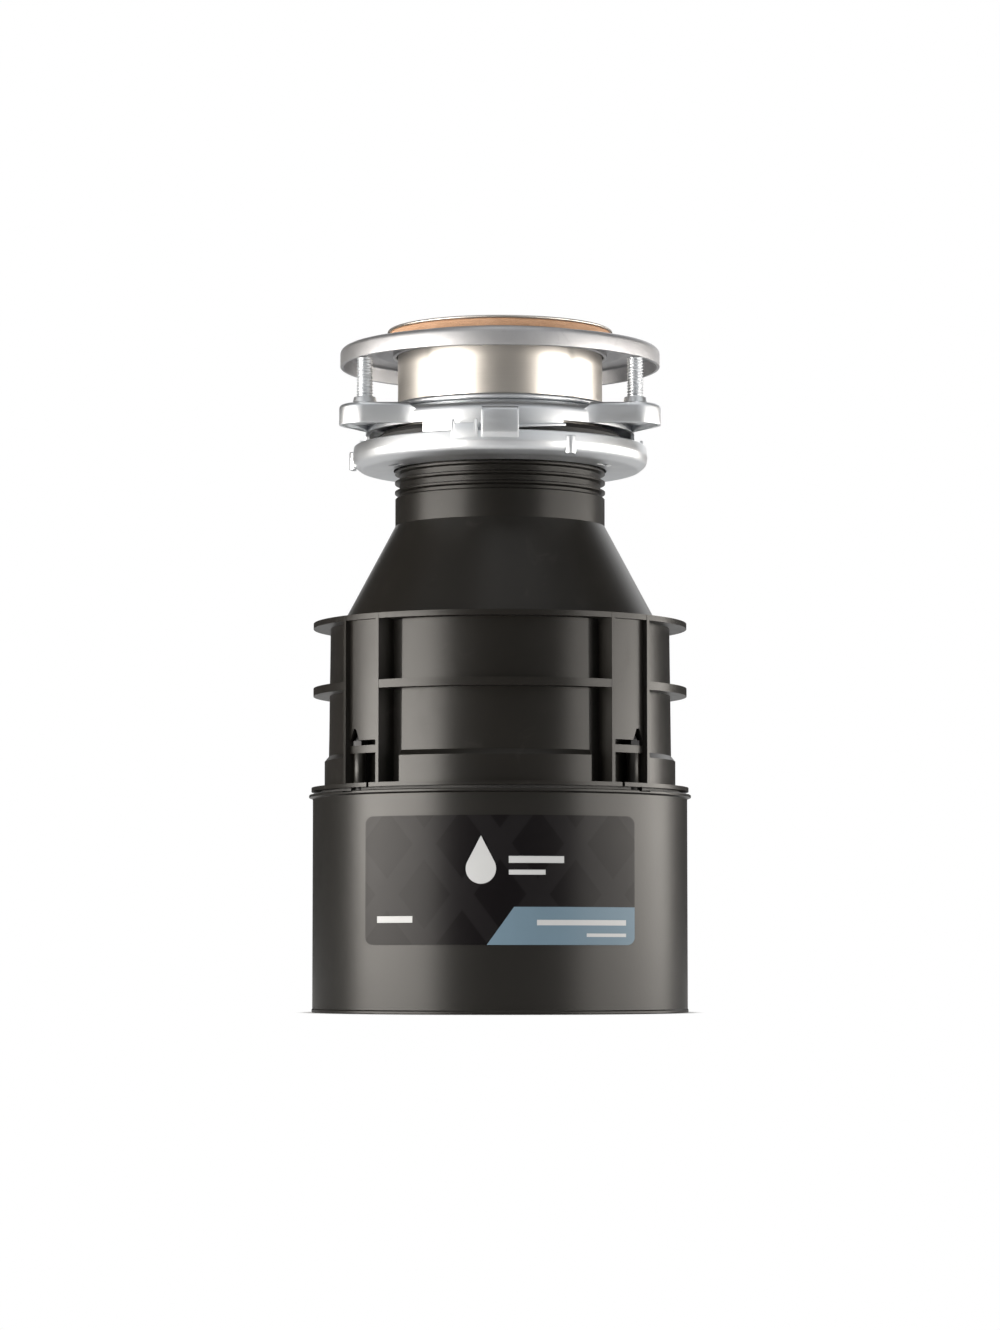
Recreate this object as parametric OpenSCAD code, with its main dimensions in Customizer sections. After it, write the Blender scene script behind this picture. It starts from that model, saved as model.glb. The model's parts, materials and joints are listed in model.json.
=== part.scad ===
// Under-sink food waste disposer with its three-screw sink mount.
// Millimetres, +Z up, Z=0 at the bottom rim of the motor housing, the front faces -Y.

/* [Motor housing] */
// Outer radius of the motor housing
housing_r = 80; // [72:0.5:96]
// Height of the housing's side wall
housing_h = 91.3; // [84:0.1:110]
// Sheet thickness of the housing
housing_wall = 1.2; // [0.8:0.1:2]
// How far the rolled top lip stands out
housing_lip = 1.6; // [1:0.1:2.5]
// Half of the angle that the name plate covers
plate_half_angle = 44; // [20:1:60]
// Height of the name plate
plate_h = 53; // [30:1:60]
// Corner radius of the name plate
plate_corner = 3.2; // [1:0.1:6]

/* [Hopper] */
// Height of the hopper's straight part, from its flange to the top fin
hopper_h = 72; // [66:0.5:90]
// Height of the cone above the top fin
cone_h = 42; // [30:0.5:60]
// Height of the plain band of the neck
neck_band_h = 12.2; // [8:0.1:20]
// Outer radius of the neck
neck_r = 45; // [42:0.1:48]
// Wall of the hopper
hopper_wall = 2.7; // [2:0.1:4]
// Depth of the panels that stand out between the columns
panel_depth = 2.5; // [1:0.1:4]
// Half of the angle that one panel covers
panel_half_angle = 32; // [20:1:35]
// Height of the stepped foot of each panel
foot_h = 11.1; // [6:0.1:20]
// Thickness of the lower fin
fin_t = 3.4; // [2:0.1:5]
// Height of the lower fin's top above the flange
fin_z = 44.2; // [36:0.1:50]
// Thickness of the column ribs
rib_t = 1.6; // [1:0.1:3]

/* [Sink mount] */
// Outer radius of the sink sleeve, for a 3-1/2 inch sink hole
sleeve_r = 44; // [42:0.1:44.4]
// Sheet thickness of the sink sleeve
sleeve_wall = 1.2; // [0.8:0.1:2]
// Height of the sleeve above the rubber cushion
sleeve_h = 43.4; // [40:0.1:70]
// Outer radius of the sink flange's rim
rim_r = 48.5; // [47.5:0.5:57]
// Outer radius of the backup flange
backup_r = 68.8; // [68:0.1:74]
// Height of the backup flange's skirt
backup_h = 8; // [5:0.1:12]
// Sheet thickness of the mount's stamped parts
mount_t = 1.5; // [1:0.1:2.5]
// Outer radius of the lower mounting ring
lower_ring_r = 63.4; // [62:0.1:70]
// Distance of the mounting screws from the axis
screw_circle_r = 66; // [62:0.1:67]
// Radius of the mounting screws
screw_r = 3.5; // [2.5:0.1:4]
// Radius of the lobes that hold the screws
lobe_r = 10.8; // [8:0.1:12]

/* [Grinding parts] */
// Outer radius of the turntable
turntable_r = 63; // [56:0.1:63.4]
// Thickness of the turntable
turntable_t = 3; // [2:0.1:5]
// Distance of the impeller pivots from the turntable's edge
pivot_inset = 22; // [21:0.5:27]
// Length of an impeller from its pivot to its tip
impeller_l = 20; // [14:0.5:20.5]
// Number of teeth on the shredder ring
shredder_teeth = 36; // [18:1:48]

/* [Motor] */
// Outer radius of the stator core
stator_r = 70.5; // [62:0.5:70.5]
// Radius of the rotor
rotor_r = 37.6; // [30:0.1:40]
// Height of the laminated stack
stack_h = 28; // [20:0.5:32]
// Number of stator slots
slot_count = 24; // [12:4:36]
// Radius of the shaft
shaft_r = 8; // [6:0.5:9]

/* [Discharge] */
// Outer radius of the discharge tube, for 1-1/2 inch drain pipe
tube_r = 19.05; // [15:0.05:20]
// Wall of the discharge tube
tube_wall = 2.5; // [1.5:0.1:4]
// Bend radius of the discharge elbow
bend_r = 25; // [22:0.5:35]
// Length of the elbow's straight outlet
outlet_l = 43; // [25:0.5:50]
// Outer radius of the dishwasher inlet, for 7/8 inch hose
inlet_r = 11.1; // [8:0.1:11.5]

/* [Hidden] */
$fn = 96;
eps = 0.01;
run_gap = 0.03;          // radial gap of a shaft in its bearing
loose_gap = 0.3;         // gap between pieces that pass each other

// Heights of the motor housing and what closes it
foot_lip_t = 1.2;
lip_t = 1.2;
lip_top = housing_h + lip_t;
rim_t = 1.3;                            // the end frame's rim, which shows as a dark gap
seat_z = lip_top + rim_t;               // the hopper stands here
can_in_r = housing_r - housing_wall;

// Hopper radii and heights
flange_r = housing_r + 0.6;
flange_t = 1.7;
fin_r = housing_r - 0.1;
wall_r = housing_r - 9.5;
panel_r = wall_r + panel_depth;
foot_r = panel_r + 2;
bore_r = wall_r - hopper_wall;
column_r = fin_r - 2.2;
column_half_angle = 7.3;
hopper_turn = -1.8;                     // how far the hopper is turned from the name plate's middle
column_angles = [for (i = [0 : 3]) 45 + 90 * i + hopper_turn];
top_fin_t = 2.3;
deck_z = seat_z + hopper_h;             // top of the upper fin
cone_foot_r = housing_r - 12.6;
neck_z = deck_z + cone_h;
neck_top = neck_z + neck_band_h;
neck_in_r = neck_r - 3.1;
groove_r = neck_r - 1.8;
ridge_pitch = 4.2;
ridge_count = 3;
ring_seat_z = neck_top + ridge_pitch * ridge_count - 0.8;   // underside of the lower mounting ring
collar_z = ring_seat_z + mount_t + 0.5;                     // the neck's lip, which holds that ring
collar_t = 2.7;
collar_r = neck_r + 2.5;
collar_top = collar_z + collar_t;

// Through bolts
bolt_r = 1.9;
bolt_circle_r = housing_r - 5.2;
bolt_angles = [for (a = [49.3, 130.7, 229.3, 310.7]) a + hopper_turn];
boss_r = 2.7;
bolt_seat = 0.4;                        // depth of the seats under the bolt heads
web_z = seat_z + 14.2;
web_t = 3.2;

// Grinding parts
port_z = seat_z + 19.2;                 // centre of the discharge port
port_r = tube_r - tube_wall - 0.5;
turntable_z = port_z + 13;
ring_out_r = bore_r - 0.2;
ring_in_r = turntable_r + 0.8;
ring_h = 26;
ring_z = turntable_z - 4;
ledge_r = bore_r - 2.8;
hub_r = 13;
pivot_r = turntable_r - pivot_inset;
pivot_pin_r = 3;
impeller_z = turntable_z + turntable_t + 0.2;
impeller_t = 3.2;
impeller_w = 13;
impeller_nose_h = 8;

// Motor
stack_z = 34;
stack_top = stack_z + stack_h;
air_gap = 0.4;
slot_in_r = rotor_r + 3.6;
slot_out_r = slot_in_r + 12.5;
head_h = 11;
cage_ring_h = 6;
journal_r = shaft_r - 2;
frame_z = 4;
frame_t = 2.5;
frame_top = frame_z + frame_t;
lower_bearing_z = 8;
lower_bearing_h = 16;
washer_t = 1.5;
shoulder_z = lower_bearing_z + lower_bearing_h + washer_t;
floor_t = 5.8;
floor_z = seat_z - floor_t;             // underside of the drain chamber's floor
hub_bottom = floor_z - 8;
upper_bearing_h = 22;
seal_z = hub_bottom + upper_bearing_h;
seal_h = 6;
hub_top = seal_z + seal_h;
bearing_out_r = shaft_r + 4;
governor_z = stack_top + cage_ring_h + 1;
collar_travel = 2.5;
governor_collar_z = hub_bottom - 6.5;

// Bottom fittings
button_y = -46;
button_r = 3.9;
button_travel = 3;
box_w = 60;
box_d = 36;
box_y = 46;
box_h = 12.5;
conduit_r = 11.1;
conduit_x = -14;

// Sink mount
cushion_top = collar_top + 11.1;
sleeve_z = cushion_top + 0.2;
rim_t2 = 1.2;
top_z = sleeve_z + sleeve_h + rim_t2;   // top of the sink flange
gasket_t = 3.8;
gasket_z = top_z - rim_t2 - gasket_t;
dome_h = 2.8;                           // how far the backup flange's middle is raised
backup_top = gasket_z - dome_h;
backup_z = backup_top - backup_h;
upper_skirt_r = 57.8;
upper_top = ring_seat_z + 24.5;         // top of the screw lobes
lobe_h = 9;
face_drop = 2.2;                        // the round part's top edge sits this far below the lobes
face_h = 9.3;
bead_r = 1.3;
bead_z = upper_top + 2;
bead_ring_r = sleeve_r + 2.2;
snap_r = 1.1;
snap_z = bead_z - bead_r - snap_r - 0.4;
ramp_t = 1.5;
ramp_r = upper_skirt_r + 2.8;
ramp_tilt = 4.15;
ramp_start = -25;                       // the ramp's low end, from the middle of the hook
ramp_end = 27;
ramp_z = ring_seat_z + 12.2;            // the ramp's top in the middle of its run
ring_h2 = 10.4;
hook_w = 15.6;
hook_top = ring_seat_z + 20.2;
hook_angles = [0, 120, 240];
eye_offset = 28;
eye_r = 2.4;
eye_hole_r = 1.2;
eye_h = 7.9;
lobe_angles = [60, 180, 300];
screw_top = backup_z - 0.3;
tip_r = 1.1;

// Discharge
pad_y = housing_r + 2;
pad_w = 72;
pad_top = port_z + 20.5;
washer_y = pad_y + 3;
flange_y = washer_y + 3;
tube_flange_r = tube_r + 4.5;
ear_x = 29;
elbow_y = flange_y + 5;
leg_y = elbow_y + bend_r;
inlet_angle = 160;
inlet_z = (seat_z + fin_z + deck_z - top_fin_t) / 2;    // midway between the fins
inlet_seat = housing_r + 0.5;           // where the inlet leaves its boss
inlet_end = housing_r + 22;

// Turns the children so that their +X points outwards at an angle from the front, towards the right
module at(angle, r = 0, z = 0) {
    rotate([0, 0, angle - 90]) translate([r, 0, z]) children();
}

module tube(r_out, r_in, z, h) {
    translate([0, 0, z]) difference() {
        cylinder(r = r_out, h = h);
        translate([0, 0, -1]) cylinder(r = r_in, h = h + 2);
    }
}

// A sector of a tube, centred on an angle from the front
module sector(r_in, r_out, z, h, angle, half_angle) {
    rotate([0, 0, angle - 90 - half_angle]) translate([0, 0, z])
        rotate_extrude(angle = 2 * half_angle) translate([r_in, 0]) square([r_out - r_in, h]);
}

module torus(ring_r, r, z) {
    translate([0, 0, z]) rotate_extrude() translate([ring_r, 0]) circle(r = r, $fn = 32);
}

// A hexagonal nut or head
module hexagon(across_flats, h) {
    cylinder(r = across_flats / 2 / cos(30), h = h, $fn = 6);
}

// A flat shape with three round lobes
module lobed_outline(circle_r, r) {
    for (a = lobe_angles) rotate(a - 90) translate([circle_r, 0]) circle(r = r);
    polygon([for (a = lobe_angles, side = [-60, 60])
        [circle_r * cos(a - 90) + r * cos(a - 90 + side), circle_r * sin(a - 90) + r * sin(a - 90 + side)]]);
}

// ---- sink mount ----

module sink_flange() {
    groove_d = 0.6;
    in_r = sleeve_r - sleeve_wall;
    color("silver") difference() {
        rotate_extrude() polygon([
            [in_r, sleeve_z], [sleeve_r, sleeve_z], [sleeve_r, top_z - rim_t2], [rim_r - 0.4, top_z - rim_t2],
            [rim_r, top_z - rim_t2 + 0.4], [rim_r, top_z - 0.4], [rim_r - 0.6, top_z],
            [sleeve_r + 1.6, top_z - 0.2], [in_r + 0.5, top_z - 1], [in_r, top_z - 2.2]
        ]);
        tube(sleeve_r + 1, sleeve_r - groove_d, snap_z - snap_r, 2 * snap_r);
    }
}

module fibre_gasket() {
    color("peru") tube(rim_r - 0.7, sleeve_r + 0.4, gasket_z, gasket_t);
}

module backup_flange() {
    dome_r = sleeve_r + 8;
    lip_r = sleeve_r + 0.6;
    lip_drop = backup_h - 1.4;
    color("lightgray") translate([0, 0, backup_top]) rotate_extrude() polygon([
        [lip_r, dome_h], [dome_r, dome_h], [dome_r + 3, 0], [backup_r - 2.4, 0], [backup_r - 0.7, -0.7],
        [backup_r, -2.4], [backup_r, -backup_h + 0.6], [backup_r - 0.5, -backup_h],
        [backup_r - mount_t, -backup_h], [backup_r - mount_t, -2], [backup_r - 2, -mount_t],
        [dome_r + 2.2, -mount_t], [dome_r - 0.8, dome_h - mount_t], [lip_r + 3.2, dome_h - mount_t],
        [lip_r + mount_t, dome_h - 3.2], [lip_r + mount_t, dome_h - lip_drop + 1],
        [lip_r + mount_t + 1, dome_h - lip_drop], [lip_r, dome_h - lip_drop]
    ]);
}

// A screw with a slotted head below and a dog point above
module mounting_screw() {
    head_r = 5;
    head_h2 = 3.4;
    head_z = upper_top - lobe_h + 1;
    tip_top = backup_top - mount_t;
    difference() {
        union() {
            translate([0, 0, head_z]) cylinder(r = head_r, h = head_h2);
            translate([0, 0, head_z + head_h2 - eps])
                cylinder(r = screw_r - 0.25, h = screw_top - head_z - head_h2 + eps);
            for (z = [head_z + head_h2 + 0.6 : 1.27 : screw_top - 1.3]) translate([0, 0, z]) {
                cylinder(r1 = screw_r - 0.3, r2 = screw_r, h = 0.45);
                translate([0, 0, 0.45]) cylinder(r1 = screw_r, r2 = screw_r - 0.3, h = 0.45);
            }
            translate([0, 0, screw_top - eps]) cylinder(r = tip_r, h = tip_top - 1 - screw_top + eps);
            translate([0, 0, tip_top - 1 - eps]) cylinder(r1 = tip_r, r2 = tip_r - 0.5, h = 1 + eps);
        }
        translate([-head_r - 1, -0.6, head_z - 1]) cube([2 * head_r + 2, 1.2, 2.6]);
    }
}

module mounting_screw_left() {
    color("silver") at(300, screw_circle_r) mounting_screw();
}

module mounting_screw_right() {
    color("silver") at(60, screw_circle_r) mounting_screw();
}

module mounting_screw_rear() {
    color("silver") at(180, screw_circle_r) mounting_screw();
}

module upper_mounting_ring() {
    top_r = upper_skirt_r - 2.5;
    lobe_bottom = upper_top - lobe_h;
    face_top = upper_top - face_drop;
    hole_r = bead_ring_r;
    tap_r = screw_r + 0.15;
    color("gainsboro") difference() {
        union() {
            // the three-lobed plate and its skirt
            difference() {
                translate([0, 0, lobe_bottom]) linear_extrude(lobe_h) lobed_outline(screw_circle_r, lobe_r);
                translate([0, 0, lobe_bottom - 1]) linear_extrude(lobe_h - mount_t + 1)
                    lobed_outline(screw_circle_r, lobe_r - mount_t);
                translate([0, 0, lobe_bottom - 1]) cylinder(r = upper_skirt_r - 0.5, h = lobe_h + 4);
            }
            // the round body, with its bead round the sleeve
            rotate_extrude() polygon([
                [hole_r, bead_z - 0.9], [hole_r + 1.5, bead_z - 0.6], [top_r - 4, face_top + 1],
                [top_r, face_top + 0.2], [upper_skirt_r - 0.6, face_top - 0.9],
                [upper_skirt_r, face_top - 2.6], [upper_skirt_r, face_top - face_h],
                [upper_skirt_r - mount_t, face_top - face_h], [upper_skirt_r - mount_t, face_top - 3],
                [top_r - 0.4, face_top - 1.3], [top_r - 4.4, face_top - 0.5], [hole_r, bead_z - 0.9 - mount_t]
            ]);
            torus(hole_r, bead_r, bead_z);
            // the inclined ledges that the lower ring's hooks ride on
            for (a = hook_angles) intersection() {
                at(a) translate([0, 0, ramp_z - ramp_t]) rotate([ramp_tilt, 0, 0])
                    tube(ramp_r + 1, upper_skirt_r - mount_t - 1, 0, ramp_t);
                sector(upper_skirt_r - 0.8, ramp_r, ramp_z - 10, 20, a + (ramp_start + ramp_end) / 2,
                       (ramp_end - ramp_start) / 2);
            }
            for (a = lobe_angles) at(a, screw_circle_r, upper_top - eps)
                cylinder(r1 = screw_r + 1.9, r2 = screw_r + 1.2, h = 3.2);
        }
        for (a = lobe_angles) at(a, screw_circle_r, lobe_bottom - 1) cylinder(r = tap_r, h = lobe_h + 6);
        // the round skirt is cut away under the lobes, which leaves the hooks a way in
        for (a = lobe_angles)
            sector(upper_skirt_r - 4, upper_skirt_r + 3, ring_seat_z, lobe_bottom - ring_seat_z, a - 3.4, 29.4);
    }
}

module snap_ring() {
    gap_half_angle = 7;
    color("silver") rotate([0, 0, 90 + gap_half_angle]) translate([0, 0, snap_z])
        rotate_extrude(angle = 360 - 2 * gap_half_angle) translate([sleeve_r - 0.6 + snap_r, 0])
        circle(r = snap_r, $fn = 32);
}

module mounting_gasket() {
    slit_count = 8;
    outer_r = collar_r + 5;
    hole_r = 13;
    flap_z = collar_top + 0.6;
    color("black") difference() {
        rotate_extrude() polygon([
            [collar_r + 0.3, collar_z + 0.2], [outer_r, collar_z + 0.2], [outer_r, cushion_top - 2],
            [outer_r - 2, cushion_top], [neck_in_r + 0.6, cushion_top], [neck_in_r - 1.6, cushion_top - 2],
            [neck_in_r - 2, flap_z + 2.4], [hole_r, flap_z - 3], [hole_r, flap_z - 5],
            [neck_in_r - 2.2, flap_z], [neck_in_r - 2, collar_z - 6], [neck_in_r - 0.2, collar_z - 6],
            [neck_in_r - 0.2, collar_top + 0.1], [collar_r + 0.3, collar_top + 0.1]
        ]);
        for (i = [0 : slit_count - 1]) rotate([0, 0, i * 360 / slit_count])
            translate([hole_r - 2, -0.5, flap_z - 6]) cube([neck_in_r - 7 - hole_r, 1, 10]);
    }
}

// The half-round eye that takes a bar for turning the ring
module ring_eye() {
    difference() {
        cylinder(r = eye_r, h = eye_h, $fn = 48);
        translate([0, 0, -1]) cylinder(r = eye_hole_r, h = eye_h + 2, $fn = 48);
    }
}

module lower_mounting_ring() {
    z0 = ring_seat_z;
    r = lower_ring_r;
    floor_in_r = neck_r + 0.6;
    hook_out_r = r + 0.6;
    leg_r = upper_skirt_r + 0.8;
    color("gainsboro") difference() {
        union() {
            translate([0, 0, z0]) rotate_extrude() polygon([
                [floor_in_r, 0], [r - 4.4, 0], [r - 2.4, 0.6], [r - 0.8, 2.2], [r - 0.1, 4.2], [r, 5.8],
                [r - 0.4, 8.6], [r - 0.8, ring_h2 - 0.5], [r - 1.4, ring_h2], [r - mount_t - 0.5, ring_h2],
                [r - mount_t - 0.3, 8], [r - mount_t, 5.8], [r - mount_t - 0.1, 4.5],
                [r - mount_t - 0.6, 3], [r - 3.4, mount_t + 0.4], [r - 4.8, mount_t], [floor_in_r, mount_t]
            ]);
            for (a = hook_angles) {
                // the hook stands up from the rim and folds in over the ledge
                intersection() {
                    union() {
                        tube(hook_out_r, hook_out_r - mount_t, z0 + 6.6, hook_top - z0 - 7.4);
                        tube(hook_out_r, r - mount_t - 0.3, z0 + 6.6, 2.4);
                        translate([0, 0, hook_top - 1.6]) rotate_extrude() polygon([
                            [leg_r, 0], [hook_out_r, 0], [hook_out_r, 0.4], [hook_out_r - 0.8, 1.6],
                            [leg_r + 0.8, 1.6], [leg_r, 0.8]
                        ]);
                        tube(leg_r + mount_t, leg_r, ramp_z + 0.9, hook_top - ramp_z - 1.9);
                    }
                    at(a) translate([40, -hook_w / 2, z0]) cube([40, hook_w, 40]);
                }
                // the stop tab beside it, with two small horns
                difference() {
                    sector(r - 1.35, r - 0.15, z0 + 7, ring_h2 - 2.2, a - 13.6, 5.2);
                    sector(r - 4, r + 3, z0 + ring_h2 + 3.2, 4, a - 13.6, 3.7);
                }
            }
            for (a = hook_angles) intersection() {
                at(a + eye_offset, r - 0.9, z0 + 0.8) ring_eye();
                tube(r + 5, r - mount_t - 0.2, z0, ring_h2 + 4);
            }
        }
        for (a = hook_angles) at(a + eye_offset, r - 0.9, z0 - 1) cylinder(r = eye_hole_r, h = ring_h2 + 6, $fn = 48);
        // short slots in the floor, beside the neck
        for (a = lobe_angles) sector(neck_r + 4.5, neck_r + 7.5, z0 - 1, mount_t + 2, a, 5);
    }
}

// ---- hopper and grinding parts ----

module hopper_shell() {
    ridge_h = 2;
    cone_in = hopper_wall * 1.15;
    difference() {
        union() {
            // body, cone and neck
            rotate_extrude() polygon([
                [0, seat_z], [wall_r, seat_z], [wall_r, deck_z], [cone_foot_r, deck_z],
                [neck_r, neck_z], [neck_r, neck_top - 0.5], [neck_r - 0.5, neck_top], [groove_r, neck_top],
                [groove_r, collar_top], [0, collar_top]
            ]);
            for (i = [0 : ridge_count - 1]) translate([0, 0, neck_top + 1.4 + i * ridge_pitch])
                rotate_extrude() polygon([
                    [groove_r - 1, 0], [groove_r, 0], [neck_r + 0.2, ridge_h * 0.3],
                    [neck_r + 0.2, ridge_h * 0.7], [groove_r, ridge_h], [groove_r - 1, ridge_h]
                ]);
            tube(collar_r, groove_r - 1, collar_z, collar_t);
            tube(flange_r, wall_r - 0.6, seat_z, flange_t);
            tube(fin_r, cone_foot_r - 2, deck_z - top_fin_t, top_fin_t);
            tube(fin_r, wall_r - 0.8, seat_z + fin_z - fin_t, fin_t);
            for (a = [0, 90, 180, 270]) {
                rotate([0, 0, a + hopper_turn - 90 - panel_half_angle]) rotate_extrude(angle = 2 * panel_half_angle)
                    polygon([
                        [wall_r - 1.4, seat_z], [foot_r, seat_z], [foot_r, seat_z + foot_h + 1.8],
                        [panel_r + 0.2, seat_z + foot_h + 4], [panel_r - 0.4, deck_z - 1], [wall_r - 1.4, deck_z - 1]
                    ]);
            }
        }
        // cavity: drain chamber and ring seat, grinding chamber, cone, neck
        translate([0, 0, seat_z - 1]) cylinder(r = bore_r, h = ring_z + ring_h - seat_z + 1);
        rotate_extrude() polygon([
            [0, ring_z + ring_h - 1], [ledge_r, ring_z + ring_h - 1], [ledge_r, deck_z - 4],
            [neck_in_r, neck_z - cone_in], [neck_in_r, collar_top + 1], [0, collar_top + 1]
        ]);
    }
}

// One column: two ribs, a curved skin between them, and the web that the bolt's nut sits on
module hopper_column(angle) {
    skin_t = 1.7;
    skin_z = web_z + web_t + 2.2;
    rib_r = fin_r + 0.1;
    for (side = [-1, 1])
        rotate([0, 0, angle - 90 + side * column_half_angle]) translate([wall_r - 1, -rib_t / 2, seat_z])
            cube([rib_r - wall_r + 1, rib_t, deck_z - seat_z - eps]);
    sector(column_r - skin_t, column_r, skin_z, deck_z - skin_z - 1, angle, column_half_angle);
    sector(wall_r - 1, column_r, web_z, web_t, angle, column_half_angle);
}

module discharge_pad() {
    intersection() {
        translate([-pad_w / 2, 0, seat_z]) cube([pad_w, pad_y, pad_top - seat_z]);
        tube(housing_r + 20, bore_r + 0.5, seat_z, pad_top - seat_z);
    }
}

module hopper() {
    boss_top = web_z + eps;
    color([0.13, 0.12, 0.11]) difference() {
        union() {
            difference() {
                hopper_shell();
                // the fins stop at the columns' ribs
                for (a = column_angles)
                    sector(column_r - 2, housing_r + 10, seat_z + flange_t + 1, deck_z - top_fin_t - seat_z - flange_t - 1,
                           a, column_half_angle);
            }
            for (a = column_angles) hopper_column(a);
            for (a = bolt_angles) at(a, bolt_circle_r, seat_z) cylinder(r = boss_r, h = boss_top - seat_z);
            discharge_pad();
            // dishwasher inlet, closed at its inner end until it is knocked out
            at(inlet_angle, 0, inlet_z) rotate([0, 90, 0]) {
                translate([0, 0, panel_r - 3]) cylinder(r = inlet_r + 1.1, h = inlet_seat - panel_r + 3);
                translate([0, 0, panel_r]) cylinder(r = inlet_r, h = inlet_end - panel_r);
            }
        }
        at(inlet_angle, 0, inlet_z) rotate([0, 90, 0]) translate([0, 0, panel_r + 1])
            cylinder(r = inlet_r - 2.6, h = 60);
        for (a = bolt_angles) at(a, bolt_circle_r, seat_z - 1) cylinder(r = bolt_r + 0.2, h = 40);
        // a notch in each skin clears the bolt's point, and one in the flange lines the hopper up
        for (a = bolt_angles) at(a, bolt_circle_r - 1, web_z + web_t) rotate([90, 0, 90])
            linear_extrude(8) polygon([[-3.4, 1], [3.4, 1], [0.8, 7], [-0.8, 7]]);
        for (a = bolt_angles) at(a > 180 ? a + 8.2 : a - 8.2, flange_r - 2, seat_z - 1)
            translate([0, -0.7, 0]) cube([6, 1.4, flange_t + 2]);
        // discharge port and its two screw holes
        translate([0, 0, port_z]) rotate([-90, 0, 0]) cylinder(r = port_r, h = 200);
        for (x = [-ear_x, ear_x]) translate([x, pad_y - 9, port_z]) rotate([-90, 0, 0]) cylinder(r = 2.1, h = 20);
    }
}

module hopper_gasket() {
    color("dimgray") tube(bore_r + 3.4, bore_r + 0.6, seat_z - 1.2, 1.2);
}

module shredder_ring() {
    tooth_w = 3.2;
    color("darkgray") difference() {
        tube(ring_out_r, ring_in_r, ring_z, ring_h);
        for (i = [0 : shredder_teeth - 1]) rotate([0, 0, i * 360 / shredder_teeth])
            translate([ring_in_r - 2, -tooth_w / 2, ring_z - 1]) cube([3.2, tooth_w, ring_h * 0.55]);
        for (i = [0 : 5]) rotate([0, 0, i * 60 + 5])
            translate([ring_in_r - 2, -4, ring_z + ring_h - 8]) cube([3.4, 8, 4]);
    }
}

module turntable() {
    notch_count = 20;
    color("silver") difference() {
        union() {
            translate([0, 0, turntable_z]) cylinder(r = turntable_r, h = turntable_t);
            translate([0, 0, turntable_z + turntable_t - eps]) cylinder(r1 = hub_r + 3, r2 = hub_r - 1, h = 2.5);
            translate([0, 0, turntable_z - 11]) cylinder(r = hub_r, h = 11 + eps);
            // fixed lugs, turned up at the rim
            for (a = [0, 180]) sector(turntable_r - 8, turntable_r - 4, turntable_z, turntable_t + 5, a, 4);
        }
        translate([0, 0, turntable_z - 20]) cylinder(r = shaft_r, h = 20);
        translate([0, 0, turntable_z - 1]) cylinder(r = shaft_r - 3, h = 20);
        for (i = [0 : notch_count - 1]) rotate([0, 0, (i + 0.5) * 360 / notch_count])
            translate([turntable_r, 0, turntable_z - 1]) cylinder(r = 2.4, h = turntable_t + 2, $fn = 24);
        for (i = [0 : 11]) rotate([0, 0, i * 30 + 15]) translate([turntable_r - 12, 0, turntable_z - 1])
            cylinder(r = 1.8, h = turntable_t + 2, $fn = 24);
        for (x = [-pivot_r, pivot_r]) translate([x, 0, turntable_z - 1])
            cylinder(r = pivot_pin_r, h = turntable_t + 2);
    }
}

module turntable_nut() {
    nut_z = turntable_z + turntable_t + 2.5;
    color("silver") difference() {
        translate([0, 0, nut_z]) hexagon(17, 6);
        translate([0, 0, nut_z - 1]) cylinder(r = shaft_r - 3, h = 20);
    }
}

// A swinging lug: a flat arm on its pivot with a raised nose at the tip
module impeller() {
    pin_hole_r = pivot_pin_r + 0.08;
    nose_l = 6;
    tip_x = sqrt(impeller_l * impeller_l - impeller_w * impeller_w / 4);
    difference() {
        union() {
            cylinder(r = impeller_w / 2, h = impeller_t);
            intersection() {
                translate([0, -impeller_w / 2, 0]) cube([impeller_l, impeller_w, impeller_t]);
                translate([0, 0, -1]) cylinder(r = impeller_l, h = impeller_t + 2);
            }
            translate([tip_x - nose_l, -impeller_w / 2, 0]) cube([nose_l, impeller_w, impeller_nose_h - 1.2]);
            translate([tip_x - nose_l + 1.2, -impeller_w / 2 + 1.2, 0])
                cube([nose_l - 2.4, impeller_w - 2.4, impeller_nose_h]);
        }
        translate([0, 0, -1]) cylinder(r = pin_hole_r, h = impeller_t + 2);
    }
}

module impeller_left() {
    color("lightsteelblue") translate([-pivot_r, 0, impeller_z]) rotate([0, 0, 120]) impeller();
}

module impeller_right() {
    color("lightsteelblue") translate([pivot_r, 0, impeller_z]) rotate([0, 0, -60]) impeller();
}

module impeller_rivets() {
    head_z = impeller_z + impeller_t + 0.2;
    color("silver") for (x = [-pivot_r, pivot_r]) translate([x, 0, 0]) {
        translate([0, 0, turntable_z]) cylinder(r = pivot_pin_r, h = head_z - turntable_z + eps);
        translate([0, 0, head_z]) cylinder(r1 = 5.6, r2 = 3.6, h = 2);
        translate([0, 0, turntable_z - 1.6]) cylinder(r1 = 4, r2 = 5, h = 1.6);
    }
}

module slinger() {
    slinger_z = hub_top + 0.8;
    color("black") translate([0, 0, slinger_z]) rotate_extrude() polygon([
        [shaft_r, 0], [shaft_r + 3, 0], [hub_r + 5, -0.4], [hub_r + 5, 0.8], [shaft_r + 3.4, 2.2], [shaft_r, 2.2]
    ]);
}

module shaft_seal() {
    color("black") translate([0, 0, seal_z]) rotate_extrude() polygon([
        [shaft_r + 0.05, 1.5], [shaft_r + 0.9, 0], [bearing_out_r + 2, 0], [bearing_out_r + 2, seal_h],
        [shaft_r + 2.6, seal_h], [shaft_r + 2.2, seal_h - 2.4], [shaft_r + 0.05, seal_h - 3.4]
    ]);
}

module upper_bearing() {
    color("goldenrod") tube(bearing_out_r, shaft_r + run_gap, hub_bottom, upper_bearing_h);
}

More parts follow.
